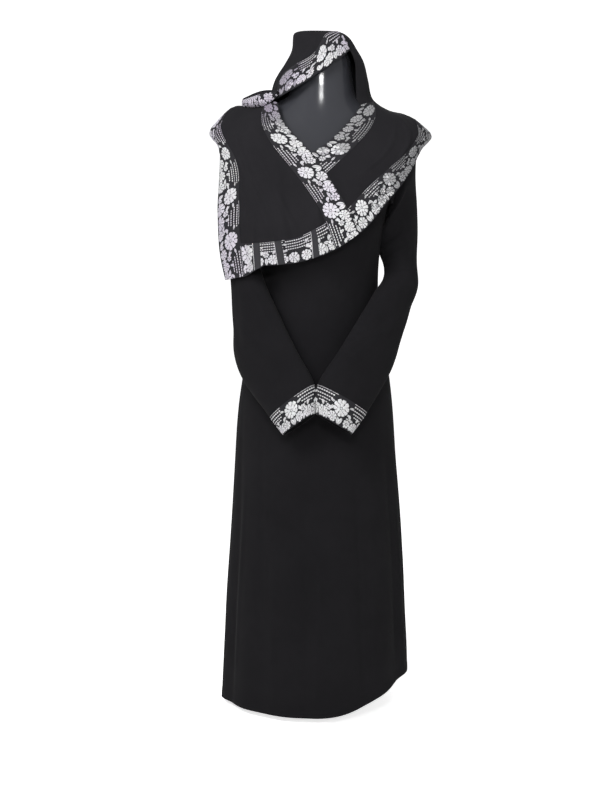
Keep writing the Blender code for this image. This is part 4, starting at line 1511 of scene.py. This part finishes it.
@dataclass
class Gown:
    """Front, back and sleeves of the gown, with its cuff bands."""

    finishes: Finishes
    surface: GownSurface = GownSurface()
    armhole_top: float = 0.100
    armhole_low: float = 0.290
    armhole_half_angle: float = 31.0
    armhole_width: float = 0.194
    columns: int = 150
    yoke_rows: int = 14
    armhole_rows: int = 41
    skirt_rows: int = 150
    sleeve_turns: int = 80
    cap_end: float = 1.5
    cap_rows: int = 24
    arm_rows: int = 110
    cuff_rows: int = 17
    crease_rise: Span = (0.5, 1.3)
    crease_fall: Span = (9.2, 9.9)
    lip: float = 0.004
    lip_share: float = 0.08
    hanging_rings: int = 3
    cuff_start: float = 10.0
    hem_turning: float = 0.0006
    hem_depth: float = 0.022
    hem_step: float = 0.004

    def armhole(self, turns: np.ndarray, inset: float = 0.0) -> tuple[np.ndarray, np.ndarray]:
        """Points round an armhole.

        Args:
            turns: Their turns from its top, in radians.
            inset: How far they lie inside its edge.

        Returns:
            Their angles off the side seam, and their stations.
        """
        middle = (self.armhole_top + self.armhole_low) / 2
        half = (self.armhole_low - self.armhole_top) / 2
        angle_inset = math.degrees(inset / self.armhole_width)
        off_seam = (self.armhole_half_angle - angle_inset) * np.sin(turns)
        return off_seam, middle - (half - inset) * np.cos(turns)

    def body_grid(self, middle: float) -> ClothGrid:
        """The grid of the front or the back, cut away at the armholes.

        Args:
            middle: The angle of its middle.

        Returns:
            The grid.
        """
        hem_at = self.surface.hem_station
        yoke = np.linspace(0, self.armhole_top, self.yoke_rows, endpoint=False)
        off_seam, hole = self.armhole(np.linspace(0, np.pi, self.armhole_rows))
        skirt = np.linspace(self.armhole_low, hem_at, self.skirt_rows + 1)[1:]
        edges = np.pad(off_seam, (len(yoke), len(skirt)))
        start, end = middle - 90.0 + edges, middle + 90.0 - edges
        share = np.linspace(0, 1, self.columns + 1)
        angle = start[:, None] + (end - start)[:, None] * share[None, :]
        at = np.broadcast_to(np.concatenate([yoke, hole, skirt])[:, None], angle.shape)
        normals = self.surface.direction(angle, at)
        hem_top = hem_at - self.hem_depth
        hem = ease(at, hem_top, hem_top + self.hem_step) * self.hem_turning
        return ClothGrid(self.surface.point(angle, at) + normals * hem[..., None], normals)

    def sleeve_rings(self, rings: Sequence[SleeveRing], side: float,
                     turns: np.ndarray) -> np.ndarray:
        """Points round a sleeve's rings below its armhole.

        Args:
            rings: The sleeve's rings, on the left side.
            side: 1 for the left sleeve and -1 for the right one.
            turns: Turns round each ring, in radians.

        Returns:
            The points, by ring and turn.
        """
        outer = np.array([ring.outer for ring in rings]) * [side, 1, 1]
        inner = np.array([ring.inner for ring in rings]) * [side, 1, 1]
        half_depth = np.array([ring.half_depth for ring in rings])[:, None, None]
        angle, at = self.armhole_edge(side, turns)
        centre, across = (outer + inner) / 2, outer - inner
        path = np.vstack([self.surface.point(angle, at).mean(axis=0), centre])
        front = unit(np.cross(across, np.gradient(path, axis=0)[1:]))
        front *= -np.sign(front[:, 1:2])
        front[:self.hanging_rings] = (0.0, -1.0, 0.0)
        return (centre[:, None, :] + across[:, None, :] / 2 * np.cos(turns)[None, :, None]
                + front[:, None, :] * half_depth * np.sin(turns)[None, :, None])

    def armhole_edge(self, side: float, turns: np.ndarray) -> tuple[np.ndarray, np.ndarray]:
        """Angles and stations of a sleeve's edge, inside the left (1) or right (-1) armhole."""
        off_seam, at = self.armhole(turns, inset=OVERLAY)
        return -off_seam if side > 0 else -180.0 + off_seam, at

    def sleeve_grid(self, rings: Sequence[SleeveRing], side: float,
                    creases: Sequence[Crease]) -> tuple[ClothGrid, np.ndarray]:
        """The grid of a sleeve, from its armhole to its cuff.

        Args:
            rings: The sleeve's rings, on the left side.
            side: 1 for the left sleeve and -1 for the right one.
            creases: Its creases, by turn in degrees and ring number.

        Returns:
            The grid, closed round, and the ring number at each of its rows.
        """
        turns = np.arange(self.sleeve_turns) * 2 * np.pi / self.sleeve_turns
        below = self.sleeve_rings(rings, side, turns)
        edge = self.armhole_edge(side, turns)
        start, directions = self.surface.point(*edge), self.surface.direction(*edge)
        under = ((1 - np.cos(turns)) / 2)[:, None]
        lip = (start + directions * self.lip * under
               + (below[0] - start) * self.lip_share * (1 - under))
        keys = np.concatenate([[0.0, self.lip_share], np.arange(1.0, len(rings) + 1)])
        at = np.concatenate([
            np.linspace(0, self.cap_end, self.cap_rows, endpoint=False),
            np.linspace(self.cap_end, self.cuff_start, self.arm_rows, endpoint=False),
            np.linspace(self.cuff_start, len(rings), self.cuff_rows)])
        points = smooth_between(keys, np.concatenate([start[None], lip[None], below]), at)
        normals = facing(grid_normals(points, closed=True),
                         points - points.mean(axis=1, keepdims=True))
        lift = crease_lift(np.degrees(turns)[None, :], at[:, None], creases)
        lift = lift * (ease(at, *self.crease_rise) * (1 - ease(at, *self.crease_fall)))[:, None]
        points = points + normals * lift[..., None]
        normals = facing(grid_normals(points, closed=True), normals)
        normals[0] = directions
        return ClothGrid(points, normals, closed=True), at

    def build(self) -> None:
        """Build the gown."""
        for word, middle in (("front", -90.0), ("back", 90.0)):
            panel = self.body_grid(middle).shell(f"gown_{word}_cloth", self.finishes.crepe,
                                                 GOWN_CLOTH)
            settle(panel, Slot.CLOTH, f"gown_{word}")
        for word, rings, side, creases, seed in (
                ("left", LEFT_SLEEVE, 1.0, LEFT_SLEEVE_CREASES, 11),
                ("right", RIGHT_SLEEVE, -1.0, RIGHT_SLEEVE_CREASES, 12)):
            grid, at = self.sleeve_grid(rings, side, creases)
            sleeve = grid.shell(f"sleeve_{word}_cloth", self.finishes.crepe, GOWN_CLOTH)
            settle(sleeve, Slot.CLOTH, f"sleeve_{word}")
            trim = Trim(self.finishes, f"cuff_{word}_band", f"cuff_band_{word}", seed,
                        cloth=GOWN_CLOTH)
            band = trim.dress(grid.part(at >= self.cuff_start - NEAR, slice(None)), phase=0.5)


# ---------------------------------------------------------------- shawl

@dataclass
class Shawl:
    """Hood, two fronts and back of the shawl, with its bands."""

    finishes: Finishes
    surface: ShawlSurface = ShawlSurface()
    hood_station: float = 0.205
    band_width: float = 0.050
    hood_band_width: float = 0.058
    overlap_lift: float = 0.0058
    overlap_angles: Span = (-132.0, -110.0)
    edge_flare: float = 0.010
    flare_reach: float = 1.5
    flare_growth: Span = (0.1, 0.4)
    pleat_lean: float = 14.0
    pleat_growth: Span = (0.2, 0.9)
    out_share: float = 0.15
    hood_lean: float = -9.0
    hood_lean_angle: float = -36.0
    hood_lean_spread: float = 16.0
    hood_lean_growth: Span = (0.09, 0.2)
    hood_crease_growth: Span = (0.02, 0.07)
    crown_start: float = 0.002
    foot_start: float = 0.85
    right_rows: int = 78
    right_columns: tuple[int, ...] = (34, 40, 34)
    left_rows: int = 80
    left_columns: tuple[int, ...] = (30, 26)
    back_rows: int = 60
    hood_rows: int = 44
    hood_band_angles: Span = (-153.0, -43.0)
    edge_columns: int = 14
    foot_rows: int = 17
    back_columns: int = 181
    back_band_rows: int = 15
    gap: float = 0.0002
    side_gap: float = 0.05

    def cloth(self, node: str, grid: ClothGrid, capped: bool = False) -> bpy.types.Object:
        """Make one cloth of the shawl.

        Args:
            node: The node that it stands for.
            grid: The cloth's grid.
            capped: Whether its first row is closed over.

        Returns:
            The cloth.
        """
        piece = grid.shell(node + "_cloth", self.finishes.shawl_crepe, SHAWL_CLOTH,
                           capped=capped)
        settle(piece, Slot.CLOTH, node)
        return piece

    def trim(self, node: str, seed: int, down: bool = False, flip: bool = False) -> Trim:
        """The trim of one edge of the shawl, which stands for a node."""
        return Trim(self.finishes, node + "_cloth", node, seed, down, flip)

    def spread(self, lines: Sequence[Sequence[tuple[float, float]]], rows: np.ndarray,
               columns: Sequence[int]) -> tuple[np.ndarray, np.ndarray]:
        """Angles and stations of a front, from its lines of cloth.

        Args:
            lines: The lines, from one edge to the other.
            rows: Shares of the way down, one for each row.
            columns: How many columns lie between each line and the next.

        Returns:
            The angles and the stations.
        """
        down = smooth_between(LINE_STEPS, np.moveaxis(np.array(lines, float), 1, 0), rows)
        parts = []
        for i, count in enumerate(columns):
            share = np.linspace(0, 1, count, endpoint=False)[None, :, None]
            parts.append(down[:, i:i + 1] * (1 - share) + down[:, i + 1:i + 2] * share)
        grid = np.concatenate([*parts, down[:, -1:]], axis=1)
        return (np.clip(grid[..., 0], self.side_gap - 180, -self.side_gap),
                np.maximum(grid[..., 1], self.hood_station + self.gap))

    def panel(self, angle: np.ndarray, at: np.ndarray,
              lift: np.ndarray | float = 0.0) -> ClothGrid:
        """A stretch of the shawl with its creases.

        Args:
            angle: Angles of its points.
            at: Stations of its points.
            lift: How far it stands off the shawl's surface.

        Returns:
            The grid.
        """
        out = self.surface.direction(angle, at)
        height = lift + crease_lift(angle, at, SHAWL_CREASES)
        points = self.surface.point(angle, at) + out * height[..., None]
        normals = grid_normals(points)
        normals = np.where(np.sum(normals * out, axis=-1, keepdims=True) < 0, -normals, normals)
        return ClothGrid(points, unit(normals * (1 - self.out_share) + out * self.out_share))

    def build_right_front(self) -> None:
        """Build the upper front, pleated at its foot."""
        rows = np.concatenate([np.linspace(0, self.foot_start, self.right_rows, endpoint=False),
                               np.linspace(self.foot_start, 1.0, self.foot_rows)])
        edge = self.edge_columns
        angle, at = self.spread(RIGHT_FRONT_LINES, rows, (edge, *self.right_columns, edge))
        row = rows[:, None]
        across = np.arange(angle.shape[1])[None, :] / edge
        lift = self.overlap_lift * ease(angle, *self.overlap_angles)
        lift = lift + (self.edge_flare * ease(-across, -self.flare_reach, 0.0)
                       * ease(row, *self.flare_growth))
        for pleat in PLEATS:
            centre = pleat.angle - (1 - row) * self.pleat_lean
            lift = lift + (pleat.depth * bump(angle, centre, pleat.spread)
                           * ease(row, *self.pleat_growth))
        grid = self.panel(angle, at, lift)
        front = self.cloth("shawl_front_right", grid)
        foot = grid.part(rows >= self.foot_start - NEAR, slice(edge, -edge))
        bands = self.trim("band_right_outer", 21, True, True).dress(
            grid.part(slice(None), slice(0, edge + 1)))
        # The inner band's upper stretch of thread is darkened as painted shade
        bands += self.trim("band_right_inner", 22, True).dress(
            grid.part(slice(None), slice(-edge - 1, None)), dull_share=0.22)
        bands += self.trim("band_right_foot", 23).dress(
            foot, pleats=self.pleat_places(foot, angle[:, edge:-edge]), large_at=(0.014,))

    def pleat_places(self, foot: ClothGrid, angle: np.ndarray) -> list[PlainPleat]:
        """Places of the plain pleats along the foot band.

        Args:
            foot: The cloth under the foot band.
            angle: Angles of the front's points, between its two edge bands.

        Returns:
            The pleats.
        """
        rows = len(foot.points)
        along = lengths_along(foot.points[rows // 2])
        return [PlainPleat(float(np.interp(pleat.angle, angle[-rows], along)) + shift.top,
                           float(np.interp(pleat.angle, angle[-1], along)) + shift.foot,
                           shift.half)
                for pleat, shift in zip(PLEATS, PLEAT_STRIPS)]

    def build_left_front(self) -> None:
        """Build the lower front, which passes under the upper one."""
        edge = self.edge_columns
        grid = self.panel(*self.spread(LEFT_FRONT_LINES, np.linspace(0, 1, self.left_rows),
                                       (edge, *self.left_columns, edge)))
        front = self.cloth("shawl_front_left", grid)
        # Most of both bands' thread, from the top down, is darkened as painted shade
        bands = self.trim("band_left_inner", 31, True, True).dress(
            grid.part(slice(None), slice(0, edge + 1)), dull_share=0.70)
        bands += self.trim("band_left_outer", 32, True).dress(
            grid.part(slice(None), slice(-edge - 1, None)), dull_share=0.66)

    def build_back(self) -> None:
        """Build the back, from one shoulder to the other."""
        angles = np.linspace(self.side_gap, 180 - self.side_gap, self.back_columns)
        foot = smooth_between(BACK_EDGE_ANGLES, BACK_EDGE_STATIONS, angles)
        at = self.down_to(foot, self.hood_station + self.gap, self.band_width, self.back_rows,
                          self.back_band_rows)
        grid = self.panel(np.broadcast_to(angles[None, :], at.shape), at)
        back = self.cloth("shawl_back", grid)
        band = self.trim("band_back", 41).dress(
            grid.part(slice(-self.back_band_rows, None), slice(None)))

    def down_to(self, foot: np.ndarray, top: float, band: float, plain_rows: int,
                band_rows: int) -> np.ndarray:
        """Stations of a cloth that ends in a band.

        Args:
            foot: The free edge's station at each column.
            top: The first row's station.
            band: The band's width.
            plain_rows: Rows down to the band.
            band_rows: Rows of the band, with its first one among the rows above.

        Returns:
            The stations, by row and column.
        """
        upper = top + (foot - band - top) * np.linspace(0, 1, plain_rows)[:, None]
        return np.vstack([upper, foot - band * np.linspace(1, 0, band_rows)[1:, None]])

    def build_hood(self) -> None:
        """Build the hood, with the band on its slanting front edge."""
        edge = np.interp(HOOD_ANGLES, HOOD_EDGE_ANGLES, HOOD_EDGE_STATIONS) - self.gap
        at = self.down_to(edge, self.crown_start, self.hood_band_width, self.hood_rows,
                          self.foot_rows)
        lean = self.hood_lean * bump(HOOD_ANGLES, self.hood_lean_angle, self.hood_lean_spread)
        angle = HOOD_ANGLES + lean * ease(at, *self.hood_lean_growth)
        out = self.surface.direction(angle, at)
        height = crease_lift(angle, at, HOOD_CREASES) * ease(at, *self.hood_crease_growth)
        points = self.surface.point(angle, at) + out * height[..., None]
        grid = ClothGrid(points, out, closed=True)
        hood = self.cloth("shawl_hood", grid, capped=True)
        first, last = self.hood_band_angles
        front = np.where((HOOD_ANGLES >= first) & (HOOD_ANGLES <= last))[0]
        # The hood band's first stretch of thread is darkened as painted shade
        band = self.trim("band_hood", 51).dress(grid.part(slice(-self.foot_rows, None), front),
                                                dull_share=0.25)

    def build(self) -> None:
        """Build the shawl."""
        self.build_hood()
        self.build_left_front()
        self.build_right_front()
        self.build_back()
        TurnedFold(self.finishes).build()


# Sections of the turned fold: centre x, y and z, half height and half depth
TURN_SECTIONS = (
    (-0.0961, -0.058, 1.4303, 0.0029, 0.0028), (-0.1064, -0.05, 1.4259, 0.0093, 0.0062),
    (-0.1202, -0.04, 1.4213, 0.0146, 0.0105), (-0.134, -0.032, 1.4179, 0.016, 0.0135),
    (-0.1478, -0.026, 1.4151, 0.0146, 0.013), (-0.1605, -0.0205, 1.4128, 0.0118, 0.011),
    (-0.1697, -0.017, 1.4116, 0.0094, 0.0085), (-0.1748, -0.0155, 1.4108, 0.0075, 0.006),
    (-0.1766, -0.015, 1.4106, 0.0021, 0.0018),
)


@dataclass
class TurnedFold:
    """The small leaf of cloth where the hood's front corner turns back on the shoulder."""

    finishes: Finishes
    rows: int = 46
    turns: int = 60
    face_half: int = 8
    face_dip: float = 0.35

    def build(self) -> None:
        """Build the rolled cloth and the flowers on its face."""
        values = smooth_between(np.linspace(0, 1, len(TURN_SECTIONS)), np.array(TURN_SECTIONS),
                                np.linspace(0, 1, self.rows))
        centres, height, depth = values[:, :3], values[:, 3:4], values[:, 4:5]
        along = unit(np.gradient(centres, axis=0))
        side = unit(np.cross(along, np.array([0, 0, 1.0])))
        up = np.cross(side, along)
        turns = np.arange(self.turns) * 2 * np.pi / self.turns
        points = (centres[:, None, :]
                  + side[:, None, :] * (depth * np.cos(turns))[..., None]
                  + up[:, None, :] * (height * np.sin(turns))[..., None])
        normals = facing(grid_normals(points, closed=True), points - centres[:, None, :])
        grid = ClothGrid(points, normals, closed=True)
        roll = grid.shell("hood_turned_cloth", self.finishes.shawl_crepe, SHAWL_CLOTH)
        settle(roll, Slot.CLOTH, "hood_turned_fold")
        middle = normals[self.rows // 2]
        centre = int(np.argmax(-middle[:, 1] - self.face_dip * middle[:, 2]))
        columns = np.arange(centre - self.face_half, centre + self.face_half + 1) % self.turns
        band = Trim(self.finishes, "hood_turned_band", None, 61, down=True).dress(
            grid.part(slice(1, -2), columns))


# ---------------------------------------------------------------- studio

@dataclass(frozen=True)
class Light:
    """A soft light: place, the point that it faces, sides, watts, and whether it is mirrored."""

    name: str
    place: Point
    aim: Point
    wide: float
    tall: float
    power: float
    shine: bool = True

    def hang(self) -> None:
        """Hang the light."""
        lamp = bpy.data.lights.new(self.name, "AREA")
        lamp.shape = "RECTANGLE"
        lamp.size, lamp.size_y, lamp.energy = self.wide, self.tall, self.power
        light = add_object(self.name, lamp)
        light.location = self.place
        light.visible_glossy = self.shine
        ahead = Vector(self.aim) - Vector(self.place)
        light.rotation_euler = ahead.to_track_quat("-Z", "Y").to_euler()


LIGHTS = table(Light, (
    ("key", (-1.4, -2.0, 2.8), (0.0, 0.0, 1.3), 1.2, 1.2, 90.0, False),
    ("fill", (2.0, -2.2, 2.1), (0.0, 0.0, 1.1), 1.4, 1.4, 12.0, False),
    ("front", (0.15, -2.9, 2.3), (0.0, 0.0, 1.4), 1.0, 1.2, 1.0, False),
    ("strip", (0.02, -2.6, 1.96), (0.0, 0.0, 1.48), 0.45, 0.16, 24.0),
    ("back", (0.2, 2.2, 2.6), (0.0, 0.0, 1.1), 1.6, 1.2, 14.0),
))


@dataclass
class Studio:
    """Camera, floor and soft light."""

    eye: Point = (0.0, -3.0, 1.15)
    target: Point = (-0.037, 0.0, 0.73)
    roll: float = -0.9
    upright_view: float = 34.48
    sensor_height: float = 24.0
    nearest: float = 0.05
    floor_half: float = 30.0
    sweep_start: float = 4.0
    sweep_radius: float = 3.0
    sweep_steps: int = 17
    floor_tone: float = 0.93
    floor_roughness: float = 0.9
    surround_light: float = 0.28
    floor_glow: float = 0.75

    def build(self) -> None:
        """Build the camera, the floor, the lights and the surroundings."""
        self.add_camera()
        self.add_floor()
        for light in LIGHTS:
            light.hang()
        self.add_surroundings()
        bpy.context.scene.view_settings.view_transform = "Standard"

    def seen(self, nodes: Nodes, low: float, high: float) -> bpy.types.NodeSocket:
        """A strength that is high where the camera looks and low in what is lit."""
        path = nodes.add("ShaderNodeLightPath")
        return nodes.spread(path.outputs["Is Camera Ray"], low, high)

    def add_surroundings(self) -> None:
        """Set a white background that lights the object a little less than it shows."""
        world = bpy.data.worlds.new("studio")
        world.use_nodes = True
        nodes = Nodes(world.node_tree)
        nodes.feed(world.node_tree.nodes["Background"], {
            "Color": (1.0, 1.0, 1.0, 1.0),
            "Strength": self.seen(nodes, self.surround_light, 1.0)})
        bpy.context.scene.world = world

    def add_camera(self) -> None:
        """Set the camera at the photograph's place."""
        eye, target = np.array(self.eye), np.array(self.target)
        ahead = unit(target - eye)
        right = unit(np.cross(ahead, [0, 0, 1.0]))
        up = np.cross(right, ahead)
        cosine, sine = math.cos(math.radians(self.roll)), math.sin(math.radians(self.roll))
        axes = np.column_stack([cosine * right - sine * up, sine * right + cosine * up, -ahead])
        camera = add_object("camera", bpy.data.cameras.new("camera"))
        camera.matrix_world = Matrix.Translation(self.eye) @ Matrix(axes.tolist()).to_4x4()
        camera.data.sensor_fit = "VERTICAL"
        camera.data.sensor_height = self.sensor_height
        camera.data.lens = self.sensor_height / 2 / math.tan(math.radians(self.upright_view) / 2)
        camera.data.clip_start = self.nearest
        bpy.context.scene.camera = camera

    def add_floor(self) -> None:
        """Lay the pale floor, which sweeps up to a wall behind the object."""
        turn = np.linspace(0.0, np.pi / 2, self.sweep_steps)
        line = [(-self.floor_half, 0.0),
                *zip(self.sweep_start + self.sweep_radius * np.sin(turn),
                     self.sweep_radius * (1 - np.cos(turn))),
                (self.sweep_start + self.sweep_radius, self.floor_half)]
        points = [(x, y, z) for y, z in line for x in (-self.floor_half, self.floor_half)]
        faces = [(2 * i, 2 * i + 1, 2 * i + 3, 2 * i + 2) for i in range(len(line) - 1)]
        mesh = bpy.data.meshes.new("floor")
        mesh.from_pydata(points, [], faces)
        mesh.shade_smooth()
        pale, white = (self.floor_tone,) * 3, (1.0, 1.0, 1.0)
        material, nodes, shader = Finish("pale_floor", pale, pale, self.floor_roughness).start()
        nodes.feed(shader, {"Base Color": (*pale, 1.0), "Emission Color": (*white, 1.0),
                            "Emission Strength": self.seen(nodes, 0.0, self.floor_glow)})
        mesh.materials.append(material)
        add_object("floor", mesh)


def main() -> None:
    """Build the form, the gown, the shawl and the studio."""
    logging.basicConfig(level=logging.INFO, format="%(name)s: %(message)s")
    Studio().build()
    finishes = Finishes()
    DressForm(finishes).build()
    Gown(finishes).build()
    Shawl(finishes).build()


if __name__ == "__main__":
    main()
